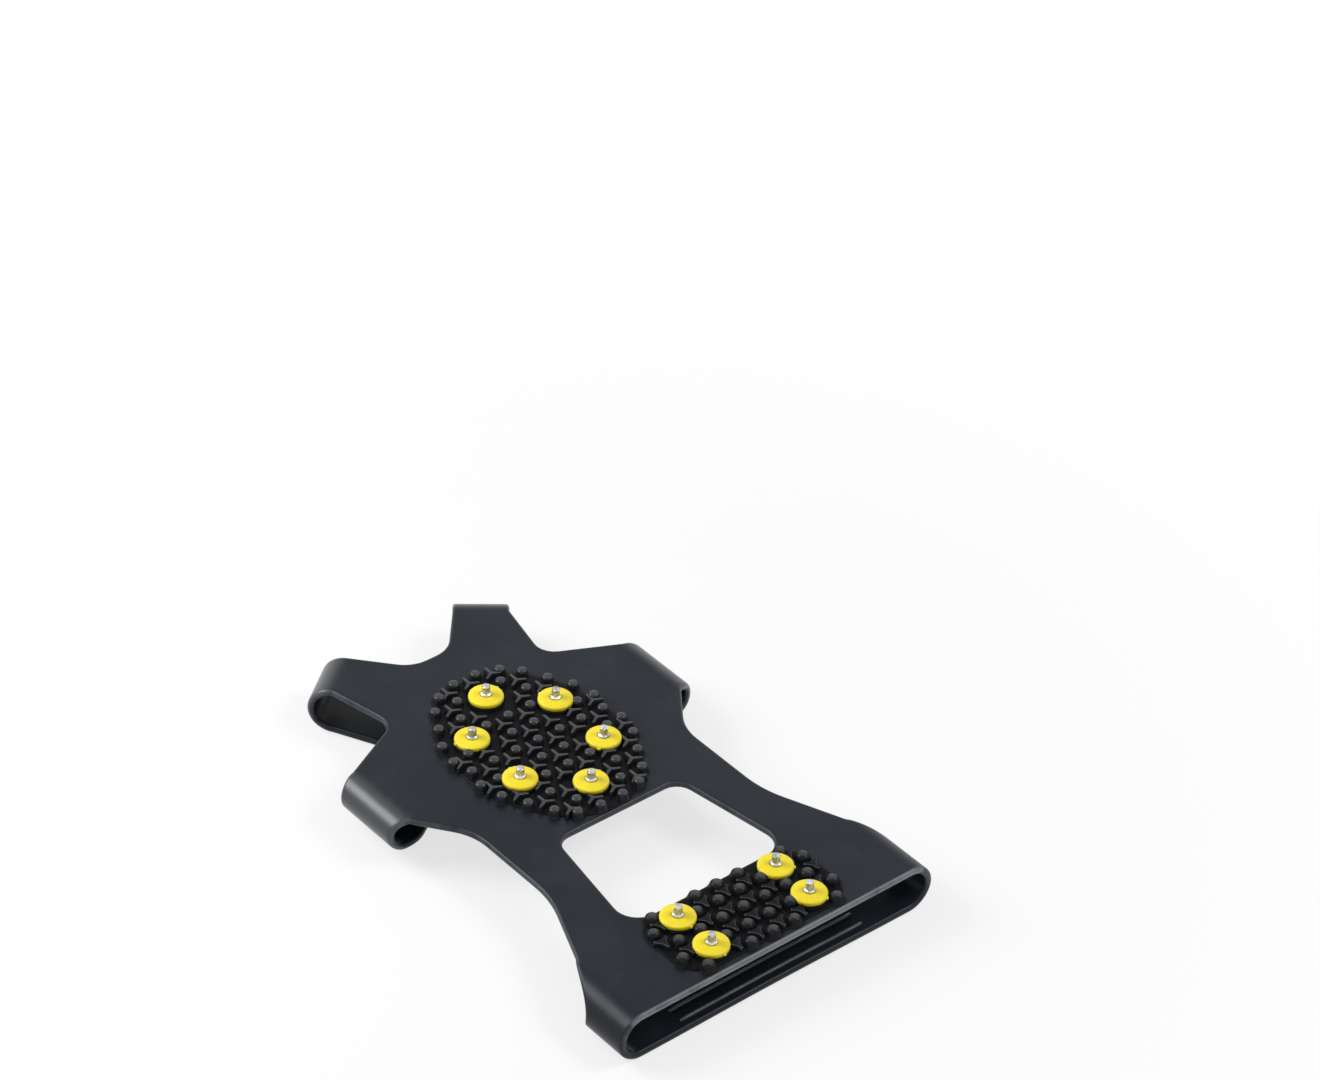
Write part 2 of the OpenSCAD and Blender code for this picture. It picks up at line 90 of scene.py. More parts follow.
# Waist straps, window and heel
WAIST_X, WAIST_START, WAIST_END = 44.5, 22.5, 61.0
WAIST_FRONT_ROUND, WAIST_REAR_ROUND = 20.0, 40.0
WINDOW_START, HEEL_PLATE = 42.0, 35.0
WINDOW_FRONT_Y, WINDOW_REAR_Y = TREAD_Y - WINDOW_START, HEEL_EDGE_Y + HEEL_PLATE
WINDOW_FRONT_HALF, WINDOW_FRONT_ROUND = 25.5, 6.0
WINDOW_REAR_HALF, WINDOW_REAR_ROUND = 33.0, 8.0
HEEL_FOLD, HEEL_FOLD_EDGE, BAND_WIDTH = 33.5, 18.0, 21.5
BAND_BOW = 0.5
RIB_HALF, RIB_WIDTH, RIB_INSET, RIB_SPACING = 38.0, 0.9, 3.5, 5.5

# Studs and their discs
SKIN, SEAT = 0.6, 0.8
DISC_R = 6.0
DISC_SEAT = LOOP_HEIGHT + SKIN + SEAT
STUD_END, STUD_SIDE, STUD_CORNER = 28.0, 17.6, 12.8
FRONT_STUDS = [(x, TREAD_Y + y) for x, y in (
    (0.0, STUD_END), (STUD_SIDE, STUD_CORNER), (STUD_SIDE, -STUD_CORNER),
    (0.0, -STUD_END), (-STUD_SIDE, -STUD_CORNER), (-STUD_SIDE, STUD_CORNER))]
HEEL_STUD_SIDE, HEEL_STUD_HALF = 20.4, 8.2
HEEL_STUDS = [
    (x * HEEL_STUD_SIDE, HEEL_TREAD_Y + y * HEEL_STUD_HALF) for y in (1, -1) for x in (1, -1)]

# Sizes of the treads, fuller than in the solids, and how far every small form is sunk in
OVAL_HALF = (30.5, 41.5)
PAD_HALF, PAD_ROUND, PAD_STEP = (34.0, 15.6), 10.0, 3.0
PITCH, HEEL_PITCH, ROW_CLOSER = 9.2, 8.9, 0.93
BASE_HEIGHT, PEG_HEIGHT = 0.5, 3.0
WINDOW_MARGIN = 3.2
SINK = 0.03
TOP = LOOP_HEIGHT - SINK

# How far in from a free edge each ring of points lies, and how thick the rubber is there
EDGE_ROUND, EDGE_POWER = 1.25, 2.4
RING_INSETS = [0.0, 0.03, 0.14, 0.36, 0.72, EDGE_ROUND, EDGE_ROUND + 0.3]
RING_HALF = [
    RUBBER / 2 * (1 - (1 - min(d / EDGE_ROUND, 1.0)) ** EDGE_POWER) ** (1 / EDGE_POWER)
    for d in RING_INSETS]

# The sine of the flattest angle at which a free edge may meet a fold, and how a fold draws in
LEAST_LEAN = 0.35
FOLD_POWER = 1.5

# How finely paths, folds and sheets are cut up
ARC_STEP, LEAST_ARC = 1.6, 4
EDGE_STEP = 2.2
FOLD_SAMPLES = 7
GRID_STEP, GRID_SHIFT = 2.7, 0.4
GRID_CLEAR = GRID_STEP * 0.55
# Turns round a fold in degrees, closer together where it meets the flat
FOLD_TURNS = np.radians(
    [0, 1.5, 4, 8, 14, 21, 29, 38, 47, 56, 65, 74, 82, 90,
     98, 106, 115, 124, 133, 142, 151, 159, 166, 172, 176, 178.5, 180])
UPWARD = (0.0, 0.0, 1.0)
MIRROR = np.array([-1.0, 1.0])


def unit(v):
    return v / np.linalg.norm(v)


def cross(a, b):
    """Above 0 where b turns to the left of a."""
    return a[0] * b[1] - a[1] * b[0]


def heading(angle):
    """The unit step in a direction, counter-clockwise from +X."""
    return np.array([math.cos(angle), math.sin(angle)])


def left_of(step):
    """The same step after a quarter turn."""
    return np.array([-step[1], step[0]])


def rounded(corners):
    """Path through (x, y, rounding) corners; its two ends stay sharp."""
    points = [np.array(corners[0][:2], float)]
    for i in range(1, len(corners) - 1):
        a, b, c = (np.array(corners[j][:2], float) for j in (i - 1, i, i + 1))
        r = corners[i][2]
        u, v = unit(a - b), unit(c - b)
        half = math.acos(np.clip(u @ v, -1, 1)) / 2
        middle = b + unit(u + v) * r / math.sin(half)
        start = b + u * r / math.tan(half) - middle
        turn = math.pi - 2 * half
        way = 1 if cross(b - a, c - b) > 0 else -1
        n = max(LEAST_ARC, int(r * turn / ARC_STEP))
        for k in range(n + 1):
            t = way * turn * k / n
            points.append(middle + np.array([
                start[0] * math.cos(t) - start[1] * math.sin(t),
                start[0] * math.sin(t) + start[1] * math.cos(t)]))
    points.append(np.array(corners[-1][:2], float))
    return np.array(points)


def resampled(points, step=EDGE_STEP):
    """The same path with long straight runs cut into steps."""
    out = [points[0]]
    for a, b in zip(points[:-1], points[1:]):
        n = max(1, int(math.ceil(np.linalg.norm(b - a) / step)))
        out += [a + (b - a) * k / n for k in range(1, n + 1)]
    return np.array(out)


def mirrored(points):
    """The same path on the other side, still counter-clockwise."""
    return points[::-1] * MIRROR


def inside(points, loop):
    """Which points lie inside a closed loop."""
    x, y = points[:, 0][:, None], points[:, 1][:, None]
    a, b = loop, np.roll(loop, -1, axis=0)
    crosses = (a[:, 1] > y) != (b[:, 1] > y)
    with np.errstate(divide="ignore", invalid="ignore"):
        at = (b[:, 0] - a[:, 0]) * (y - a[:, 1]) / (b[:, 1] - a[:, 1]) + a[:, 0]
    return (np.sum(crosses & (x < at), axis=1) % 2) == 1


def distance_to(points, loop):
    """Distance of each point to a closed loop."""
    a, b = loop, np.roll(loop, -1, axis=0)
    d = b - a
    t = np.sum((points[:, None] - a) * d, axis=2) / np.maximum(np.sum(d * d, axis=1), 1e-12)
    near = a + np.clip(t, 0, 1)[..., None] * d
    return np.min(np.linalg.norm(points[:, None] - near, axis=2), axis=1)


def distinct(ids):
    """A face's point numbers without those that repeat the one before."""
    return [k for i, k in enumerate(ids) if k != ids[i - 1]]


class Skin:
    """Points and faces of one closed rubber piece, with how close each point is to a free edge."""

    def __init__(self):
        self.points, self.edge, self.faces, self.caps = [], [], [], []

    def point(self, p, edge):
        self.points.append(p)
        self.edge.append(edge)
        return len(self.points) - 1

    def pair(self, p, normal, half, edge):
        """Points on the upper and lower side of the sheet; one shared point on its edge."""
        if half <= 0:
            i = self.point(np.array(p), edge)
            return i, i
        p, n = np.array(p), np.array(normal)
        return self.point(p + n * half, edge), self.point(p - n * half, edge)

    def flat_pair(self, p, level, half=RUBBER / 2, edge=0.0):
        """A pair on a flat sheet, whose middle lies at level(x, y)."""
        return self.pair((p[0], p[1], level(*p)), UPWARD, half, edge)

    def face(self, *ids):
        ids = distinct(ids)
        if len(ids) > 2:
            self.faces.append(ids)

    def cap(self, row):
        """Closes the cut between the two sides along a fold."""
        for (a, b), (c, d) in zip(row[:-1], row[1:]):
            self.caps.append(len(self.faces))
            self.face(a, b, d, c)


def inward_normals(path, closed):
    """Normals on the left of a path that runs counter-clockwise."""
    before = np.roll(path, 1, axis=0)
    after = np.roll(path, -1, axis=0)
    if not closed:
        before[0], after[-1] = path[0], path[-1]
    d = after - before
    d /= np.linalg.norm(d, axis=1)[:, None]
    return np.stack([-d[:, 1], d[:, 0]], axis=1)


def ring_points(path, ways=None):
    """Rings of points further and further in from a free edge. A closed path has no ways. For an
    open one they are the directions of the folds at its two ends."""
    normals = inward_normals(path, ways is None)
    rows = [path + normals * d for d in RING_INSETS]
    if ways is not None:
        for k, step in ((0, path[1] - path[0]), (-1, path[-2] - path[-1])):
            lean = max(abs(cross(unit(step), ways[k])), LEAST_LEAN)
            for row, d in zip(rows, RING_INSETS):
                row[k] = path[k] + ways[k] * d / lean
    return rows


def add_rings(skin, level, rows, closed):
    """Points and faces for such rings. Returns the point pairs, ring by ring."""
    pairs = []
    for row, half, inset in zip(rows, RING_HALF, RING_INSETS):
        edge = max(0.0, 1 - inset / EDGE_ROUND)
        pairs.append([skin.flat_pair(p, level, half, edge) for p in row])
    count = len(rows[0])
    for outer, inner in zip(pairs[:-1], pairs[1:]):
        for k in range(count if closed else count - 1):
            m = (k + 1) % count
            skin.face(outer[k][0], outer[m][0], inner[m][0], inner[k][0])
            skin.face(outer[m][1], outer[k][1], inner[k][1], inner[m][1])
    return pairs


def grid_inside(loop, hole_loop):
    """Staggered points inside a loop and outside its hole, clear of both."""
    low, high = loop.min(axis=0), loop.max(axis=0)
    rows_y = np.arange(low[1], high[1], GRID_STEP * math.sqrt(3) / 2)
    columns_x = np.arange(low[0] - GRID_SHIFT, high[0], GRID_STEP)
    seeds = np.array([
        (x + (j % 2) * GRID_STEP / 2, y) for j, y in enumerate(rows_y) for x in columns_x])
    keep = inside(seeds, loop) & (distance_to(seeds, loop) > GRID_CLEAR)
    if hole_loop is not None:
        keep &= ~inside(seeds, hole_loop) & (distance_to(seeds, hole_loop) > GRID_CLEAR)
    return seeds[keep]


def fill(skin, cloud, pairs, edges, loop, hole_loop):
    """Triangles on both sides of a sheet, between the points of its rings and its grid."""
    flat = [Vector(p) for p in cloud]
    coords, _, triangles, origin = delaunay_2d_cdt(flat, edges, [], 0, 1e-6)[:4]
    middles = np.array([np.mean([coords[i] for i in t], axis=0) for t in triangles])
    good = inside(middles, loop)
    if hole_loop is not None:
        good &= ~inside(middles, hole_loop)
    for t, ok in zip(triangles, good):
        if not ok:
            continue
        ids = [pairs[origin[i][0]] for i in t]
        a, b, c = (np.array(coords[i]) for i in t)
        if cross(b - a, c - a) < 0:
            ids.reverse()
        skin.face(*[p[0] for p in ids])
        skin.face(*[p[1] for p in ids[::-1]])


def closed_edges(start, count):
    """The edges of a loop whose points are numbered from a start."""
    return [(start + k, start + (k + 1) % count) for k in range(count)]


def flat_sheet(skin, level, parts, hole=None, cap_folds=True):
    """A sheet with round free edges, whose middle lies at level(x, y). parts is the outer loop,
    counter-clockwise, as ("free", path) and ("fold", name) by turns. Returns the points and the
    point pairs along each fold."""
    count = len(parts)
    rings, folds = {}, {}
    for i, (kind, path) in enumerate(parts):
        if kind == "free":
            before, after = parts[i - 2][1], parts[(i + 2) % count][1]
            rows = ring_points(path, (unit(before[-1] - path[0]), unit(after[0] - path[-1])))
            rings[i] = (rows, add_rings(skin, level, rows, False))

    # The loop inside the rings, with its point pairs
    loop, pairs = [], []
    for i, (kind, name) in enumerate(parts):
        if kind == "free":
            rows, ids = rings[i]
            loop += list(rows[-1])
            pairs += list(ids[-1])
            continue
        rows_a, ids_a = rings[i - 1]
        rows_b, ids_b = rings[(i + 1) % count]
        a, b = rows_a[-1][-1], rows_b[-1][0]
        between = [a + (b - a) * k / FOLD_SAMPLES for k in range(1, FOLD_SAMPLES)]
        between_pairs = [skin.flat_pair(p, level) for p in between]
        loop += between
        pairs += between_pairs
        spots = [r[-1] for r in rows_a] + between + [r[0] for r in rows_b[::-1]]
        row = [ids[-1] for ids in ids_a] + between_pairs + [ids[0] for ids in ids_b[::-1]]
        folds[name] = (np.array(spots), row)
        if cap_folds:
            skin.cap(row)

    loop = np.array(loop)
    hole_loop = None
    cloud, edges = list(loop), closed_edges(0, len(loop))
    if hole is not None:
        rows = ring_points(hole)
        hole_loop = rows[-1]
        edges += closed_edges(len(cloud), len(hole_loop))
        cloud += list(hole_loop)
        pairs += add_rings(skin, level, rows, True)[-1]
    for p in grid_inside(loop, hole_loop):
        cloud.append(p)
        pairs.append(skin.flat_pair(p, level))
    fill(skin, cloud, pairs, edges, loop, hole_loop)
    return folds


def fold_strip(skin, top_spots, bottom, outward, edge_middle, edge_width, outer_r):
    """The rolled edge between the sole and a lower band, drawn in to its own width half way round.
    top_spots are the sole's points along the fold and bottom the band's (points, pairs), both in
    the same order."""
    spots, row = bottom
    along = unit(spots[-1] - spots[0])
    origin = top_spots[0] - along * (top_spots[0] @ along)
    v_top, v_bottom = top_spots @ along, spots @ along
    out = np.array([outward[0], outward[1], 0.0])
    middle = np.array(edge_middle) @ along
    rows = []
    n = len(v_top)
    flat = n - 2 * len(RING_HALF)
    halves = RING_HALF + [RUBBER / 2] * flat + RING_HALF[::-1]
    insets = RING_INSETS + [EDGE_ROUND] * flat + RING_INSETS[::-1]
    for turn in FOLD_TURNS[:-1]:
        t = turn / math.pi
        v = v_top + (v_bottom - v_top) * t
        share = (v - v[0]) / (v[-1] - v[0])
        narrow = middle + (share - 0.5) * edge_width
        v = v + (narrow - v) * math.sin(turn) ** FOLD_POWER
        normal = out * math.sin(turn) + np.array([0, 0, math.cos(turn)])
        pairs = []
        for vj, half, inset in zip(v, halves, insets):
            p = origin + along * vj
            point = np.array([p[0], p[1], LOOP_HEIGHT - outer_r]) + normal * (outer_r - RUBBER / 2)
            pairs.append(skin.pair(point, normal, half, max(0.0, 1 - inset / EDGE_ROUND)))
        rows.append(pairs)
    rows.append([(b, a) for a, b in row])
    for upper, lower in zip(rows[:-1], rows[1:]):
        for j in range(n - 1):
            skin.face(upper[j][0], lower[j][0], lower[j + 1][0], upper[j + 1][0])
            skin.face(upper[j + 1][1], lower[j + 1][1], lower[j][1], upper[j][1])
    skin.cap([p[::-1] for p in rows[0]])


def add_object(name, data):
    """An object in the scene for a mesh, a light or a camera."""
    made = bpy.data.objects.new(name, data)
    bpy.context.scene.collection.objects.link(made)
    return made


def mesh_object(name, points, faces, material, edge=None, caps=(), smooth=True, roll=None):
    """A mesh with its finish; edge and roll are values at its points for the finish to use."""
    mesh = bpy.data.meshes.new(name)
    mesh.from_pydata([tuple(np.asarray(p) * MM) for p in points], [], [list(f) for f in faces])
    mesh.validate()
    mesh.polygons.foreach_set("use_smooth", [smooth] * len(mesh.polygons))
    for label, values in (("edge", edge), ("roll", roll)):
        if values is not None:
            layer = mesh.attributes.new(label, "FLOAT", "POINT")
            layer.data.foreach_set("value", np.broadcast_to(
                np.asarray(values, np.float32), len(mesh.vertices)).copy())
    bm = bmesh.new()
    bm.from_mesh(mesh)
    bm.faces.ensure_lookup_table()
    bmesh.ops.recalc_face_normals(bm, faces=bm.faces[:])
    for i in caps:
        for e in bm.faces[i].edges:
            e.smooth = False
        bm.faces[i].smooth = False
    bm.to_mesh(mesh)
    bm.free()
    mesh.materials.append(material)
    return add_object(name, mesh)


# Shader nodes

class Wire:
    """The output of a node, which adds and multiplies by new nodes."""

    def __init__(self, tree, socket):
        self.tree, self.socket = tree, socket

    def _math(self, operation, other):
        node = self.tree.nodes.new("ShaderNodeMath")
        node.operation = operation
        self.tree.links.new(self.socket, node.inputs[0])
        if isinstance(other, Wire):
            self.tree.links.new(other.socket, node.inputs[1])
        else:
            node.inputs[1].default_value = other
        return Wire(self.tree, node.outputs[0])

    def __add__(self, other):
        return self._math("ADD", other)

    def __mul__(self, other):
        return self._math("MULTIPLY", other)


class Finish:
    """A material with its shader and one method for any other node."""

    def __init__(self, name, **constants):
        self.material = bpy.data.materials.new(name)
        self.material.use_nodes = True
        self.tree = self.material.node_tree
        self.shader = self.tree.nodes["Principled BSDF"]
        for socket, value in constants.items():
            self.shader.inputs[socket.replace("_", " ")].default_value = value

    def node(self, kind, output=0, settings=None, **inputs):
        """A new node with its settings and inputs; gives one of its outputs."""
        made = self.tree.nodes.new(kind)
        for key, value in (settings or {}).items():
            setattr(made, key, value)
        for key, value in inputs.items():
            name = key.replace("_", " ")
            socket = next(s for s in made.inputs if s.name == name and s.enabled)
            if isinstance(value, Wire):
                self.tree.links.new(value.socket, socket)
            else:
                socket.default_value = value
        return Wire(self.tree, made.outputs[output])

    def place(self):
        return self.node("ShaderNodeTexCoord", output=3)

    def attribute(self, name):
        return self.node("ShaderNodeAttribute", output=2, settings={"attribute_name": name})

    def noise(self, where, scale, detail=3.0, roughness=0.5):
        return self.node("ShaderNodeTexNoise", Vector=where, Scale=scale, Detail=detail,
                         Roughness=roughness)

    def band(self, value, low, high, to_low=0.0, to_high=1.0):
        return self.node("ShaderNodeMapRange", settings={"interpolation_type": "SMOOTHSTEP"},
                         Value=value, From_Min=low, From_Max=high, To_Min=to_low, To_Max=to_high)

    def mix(self, factor, a, b):
        made = self.tree.nodes.new("ShaderNodeMix")
        made.data_type = "RGBA"
        for i, value in ((0, factor), (6, a), (7, b)):
            if isinstance(value, Wire):
                self.tree.links.new(value.socket, made.inputs[i])
            elif i == 0:
                made.inputs[i].default_value = value
            else:
                made.inputs[i].default_value = (*value, 1.0)
        return Wire(self.tree, made.outputs[2])

    def set(self, **links):
        for socket, wire in links.items():
            self.tree.links.new(wire.socket, self.shader.inputs[socket.replace("_", " ")])

    def bump(self, height, strength, distance):
        self.set(Normal=self.node("ShaderNodeBump", Height=height, Strength=strength,
                                  Distance=distance))


def moulded_rubber():
    """Dull blue-black rubber, smoother on its rolls, paler along its edges as wear and painted
    highlight, with a painted highlight on the heel's rear lip and the band's ribs.
    """
    deep, plain, hazy = (0.0075, 0.0100, 0.0150), (0.0130, 0.0165, 0.0235), (0.020, 0.025, 0.033)
    rubbed_and_highlit, painted_highlight, dusty = (0.046, 0.055, 0.068), (0.125, 0.145, 0.172), (0.13, 0.14, 0.15)
    f = Finish("moulded_rubber", Specular_IOR_Level=0.17, Coat_Roughness=0.40, Coat_IOR=1.5)
    at = f.place()
    cloud = f.noise(at, 24.0, 4.0, 0.55)
    bloom = f.noise(at, 90.0, 5.0, 0.62)
    grain = f.noise(at, 2400.0, 2.0, 0.5)
    specks = f.node("ShaderNodeTexVoronoi", Vector=at, Scale=330.0)
    dust = f.band(specks, 0.10, 0.05) * f.band(f.noise(at, 60.0, 2.0), 0.56, 0.66)
    edge = f.attribute("edge")
    roll = f.attribute("roll")
    # Edges painted paler: partly wear, partly a painted highlight.
    wear_and_highlight = f.band(edge, 0.15, 0.95) * f.band(bloom, 0.24, 0.56)
    tone = f.mix(f.band(cloud, 0.34, 0.68), deep, plain)
    tone = f.mix(f.band(bloom, 0.5, 0.78) * 0.5, tone, hazy)
    tone = f.mix(wear_and_highlight * 0.65, tone, rubbed_and_highlit)
    # Painted highlight where roll goes above 1: the heel's rear lip and the band's ribs.
    tone = f.mix(wear_and_highlight * f.band(roll, 1.0, 2.0) * 0.8, tone, painted_highlight)
    tone = f.mix(dust * 0.35, tone, dusty)
    f.set(Base_Color=tone)
    f.set(Roughness=f.band(bloom, 0.25, 0.75, 0.30, 0.40) + wear_and_highlight * 0.05)
    f.set(Coat_Weight=f.band(roll, 0.05, 0.75, 0.0, 0.9) + wear_and_highlight * 0.3)
    f.bump(grain * 0.5 + bloom * 0.8 + cloud * 1.4, 0.22, 0.00018)
    return f.material


def tread_rubber():
    """Blacker and shinier rubber, paler on the tops of its relief as wear and painted highlight, and
    painted darker at its foot as shade.
    """
    deep, plain, lit_flank = (0.0030, 0.0033, 0.0040), (0.0060, 0.0066, 0.0080), (0.0100, 0.0105, 0.0120)
    rubbed_and_highlit, dusty = (0.030, 0.031, 0.035), (0.040, 0.043, 0.048)
    f = Finish("tread_rubber", Specular_IOR_Level=0.04, Coat_Roughness=0.26, Coat_IOR=1.45)
    at = f.place()
    film = f.noise(at, 140.0, 4.0, 0.6)
    grain = f.noise(at, 1500.0, 3.0, 0.55)
    dust = f.band(f.noise(at, 420.0, 3.0, 0.6), 0.58, 0.74)
    top = f.attribute("edge")
    wear_and_highlight = f.band(top, 0.55, 1.0) * f.band(film, 0.18, 0.52)
    tone = f.mix(f.band(film, 0.35, 0.7), deep, plain)
    # Painted shade: the ground and the foot of the relief darker, the flanks lighter.
    tone = f.mix(f.band(top, 0.0, 0.5), tone, lit_flank)
    # Tops paler: partly wear, partly a painted highlight.
    tone = f.mix(wear_and_highlight, tone, rubbed_and_highlit)
    tone = f.mix(dust * 0.16, tone, dusty)
    f.set(Base_Color=tone)
    f.set(Roughness=f.band(film, 0.3, 0.72, 0.40, 0.55))
    f.set(Coat_Weight=f.band(top, 0.0, 0.8, 0.04, 0.85))
    f.bump(grain * 0.7 + film, 0.25, 0.00015)
    return f.material


def yellow_plastic():
    """Yellow plastic with a little soil round the bore."""
    yellow, bright, soiled = (0.86, 0.69, 0.018), (0.91, 0.76, 0.030), (0.40, 0.27, 0.012)
    f = Finish("yellow_plastic", Specular_IOR_Level=0.4, Subsurface_Weight=0.05,
               Subsurface_Scale=0.0015)
    at = f.place()
    flow = f.noise(at, 120.0, 3.0, 0.5)
    fine = f.noise(at, 1700.0, 2.0, 0.5)
    bore = f.attribute("edge")
    soil = f.band(bore, 0.5, 1.0) * f.band(f.noise(at, 650.0, 3.0, 0.6), 0.36, 0.62)
    tone = f.mix(f.band(flow, 0.32, 0.7), yellow, bright)
    tone = f.mix(soil * 0.55, tone, soiled)
    f.set(Base_Color=tone)
    f.set(Roughness=f.band(flow, 0.3, 0.7, 0.34, 0.46))
    f.bump(fine * 0.5 + flow, 0.16, 0.00012)
    return f.material


def stud_steel():
    """Stained steel with a hammered face."""
    dull, bright, pitted = (0.40, 0.40, 0.39), (0.62, 0.62, 0.60), (0.13, 0.13, 0.13)
    f = Finish("stud_steel", Metallic=1.0)
    at = f.place()
    hammered = f.noise(at, 900.0, 3.0, 0.6)
    stain = f.noise(at, 300.0, 3.0, 0.55)
    tone = f.mix(f.band(stain, 0.35, 0.68), dull, bright)
    tone = f.mix(f.band(hammered, 0.54, 0.70) * 0.6, tone, pitted)
    f.set(Base_Color=tone)
    f.set(Roughness=f.band(hammered, 0.3, 0.7, 0.26, 0.46))
    f.bump(hammered, 0.6, 0.00035)
    return f.material


RUBBER_FINISH = moulded_rubber()
TREAD_FINISH = tread_rubber()
YELLOW_FINISH = yellow_plastic()
STEEL_FINISH = stud_steel()


# Levels of the middle of each sheet

def sole_level(x, y):
    return LOOP_HEIGHT - RUBBER / 2


def eased(t):
    """From 0 to 1, slow at both ends."""
    t = min(max(t, 0.0), 1.0)
    return t * t * (3 - 2 * t)


def rim_level(x, y):
    start = RIM_FRONT_Y + RUBBER - SLOPE_EASE
    return RUBBER / 2 + WING_LIFT * (1 - eased((y - start) / (RIM_SLOPE + 2 * SLOPE_EASE)))


def band_level(x, y):
    return RUBBER / 2 + BAND_BOW * math.cos(math.pi / 2 * x / FOLD_X) ** 2


# Outlines: each path runs counter-clockwise round its sheet

front_half = rounded([(0, NOTCH_Y), (NOTCH_HALF, NOTCH_Y, NOTCH_ROUND), (*TOE_INNER, 0)])
front_notch = resampled(np.concatenate([mirrored(front_half), front_half[1:]]))[::-1]
side_notch = resampled(rounded([
    TOE_OUTER,
    (SIDE_NOTCH_X, TREAD_Y + SIDE_NOTCH_AHEAD, SIDE_NOTCH_ROUND),
    (WING_X, WING_Y + WING_WIDTH / 2)]))[::-1]
waist_side = resampled(rounded([
    (WING_X, WING_Y - WING_WIDTH / 2),
    (WAIST_X, TREAD_Y - WAIST_START, WAIST_FRONT_ROUND),
    (WAIST_X, HEEL_EDGE_Y + WAIST_END, WAIST_REAR_ROUND),
    (FOLD_X, HEEL_EDGE_Y + HEEL_FOLD)]))[::-1]
heel_edge = resampled(np.array([[-FOLD_X, HEEL_EDGE_Y], [FOLD_X, HEEL_EDGE_Y]]))
window = resampled(rounded([
    (0, WINDOW_FRONT_Y),
    (-WINDOW_FRONT_HALF, WINDOW_FRONT_Y, WINDOW_FRONT_ROUND),
    (-WINDOW_REAR_HALF, WINDOW_REAR_Y, WINDOW_REAR_ROUND),
    (WINDOW_REAR_HALF, WINDOW_REAR_Y, WINDOW_REAR_ROUND),
    (WINDOW_FRONT_HALF, WINDOW_FRONT_Y, WINDOW_FRONT_ROUND),
    (0, WINDOW_FRONT_Y)]))[:-1][::-1]

# Sole: forefoot, waist straps and heel in one sheet
sole = Skin()
sole_folds = flat_sheet(sole, sole_level, [
    ("free", heel_edge), ("fold", "heel_right"),
    ("free", waist_side), ("fold", "wing_right"),
    ("free", side_notch), ("fold", "toe_right"),
    ("free", front_notch), ("fold", "toe_left"),
    ("free", mirrored(side_notch)), ("fold", "wing_left"),
    ("free", mirrored(waist_side)), ("fold", "heel_left"),
], hole=window)

# Toe rim with the four folds that carry it
rim = Skin()
rim_notch = resampled(rounded([
    TOE_OUTER,
    (RIM_NOTCH_X, TREAD_Y + RIM_NOTCH_AHEAD, RIM_NOTCH_ROUND),
    (WING_X, RIM_FRONT_Y)]))[::-1]
opening = np.array([
    (OPENING_HALF * math.cos(a), OPENING_Y + OPENING_HALF * math.sin(a))
    for a in np.linspace(OPENING_START, math.pi / 2, OPENING_POINTS)])
rim_tail = rounded([
    (WING_X, RIM_REAR_Y),
    (MOUTH_HALF, RIM_REAR_Y, MOUTH_ROUND),
    (OPENING_HALF, OPENING_Y, OPENING_ROUND),
    opening[0]])
rim_half = np.concatenate([rim_tail, opening[1:]])
rim_mouth = resampled(np.concatenate([rim_half * MIRROR, rim_half[::-1][1:]]))
rim_folds = flat_sheet(rim, rim_level, [
    ("free", rim_mouth), ("fold", "wing_right"),
    ("free", rim_notch), ("fold", "toe_right"),
    ("free", front_notch), ("fold", "toe_left"),
    ("free", mirrored(rim_notch)), ("fold", "wing_left"),
], cap_folds=False)
for side, sign in (("right", 1), ("left", -1)):
    flip = np.array([sign, 1.0])
    fold_strip(rim, sole_folds["toe_" + side][0], rim_folds["toe_" + side], TOE_OUT * flip,
               TOE_FOLD * flip, TOE_WIDTH, LOOP_R)
    fold_strip(rim, sole_folds["wing_" + side][0], rim_folds["wing_" + side], (sign, 0.0),
               (sign * WING_X, WING_Y), WING_EDGE, WING_R)

# Heel band with the two folds that carry it
band = Skin()
band_front = HEEL_EDGE_Y + BAND_WIDTH
band_path = resampled(np.array([[FOLD_X, band_front], [-FOLD_X, band_front]]))
band_folds = flat_sheet(band, band_level, [
    ("free", heel_edge), ("fold", "heel_right"), ("free", band_path), ("fold", "heel_left"),
], cap_folds=False)
for side, sign in (("right", 1), ("left", -1)):
    fold_strip(band, sole_folds["heel_" + side][0], band_folds["heel_" + side], (sign, 0.0),
               (sign * FOLD_X, HEEL_EDGE_Y + HEEL_FOLD_EDGE / 2), HEEL_FOLD_EDGE, LOOP_R)

# How strongly each roll is marked (above 1 the finish paints a highlight), where the marks begin and
# how much paler the lower edges are painted
HEEL_LIP_HIGHLIGHT_MARK, WING_MARK, TOE_MARK, HEEL_MARK = 2.0, 1.0, 0.7, 0.15
ROLL_START, LIP_LAP = 3.0, 0.2
LEAST_EDGE_PALING = 0.3


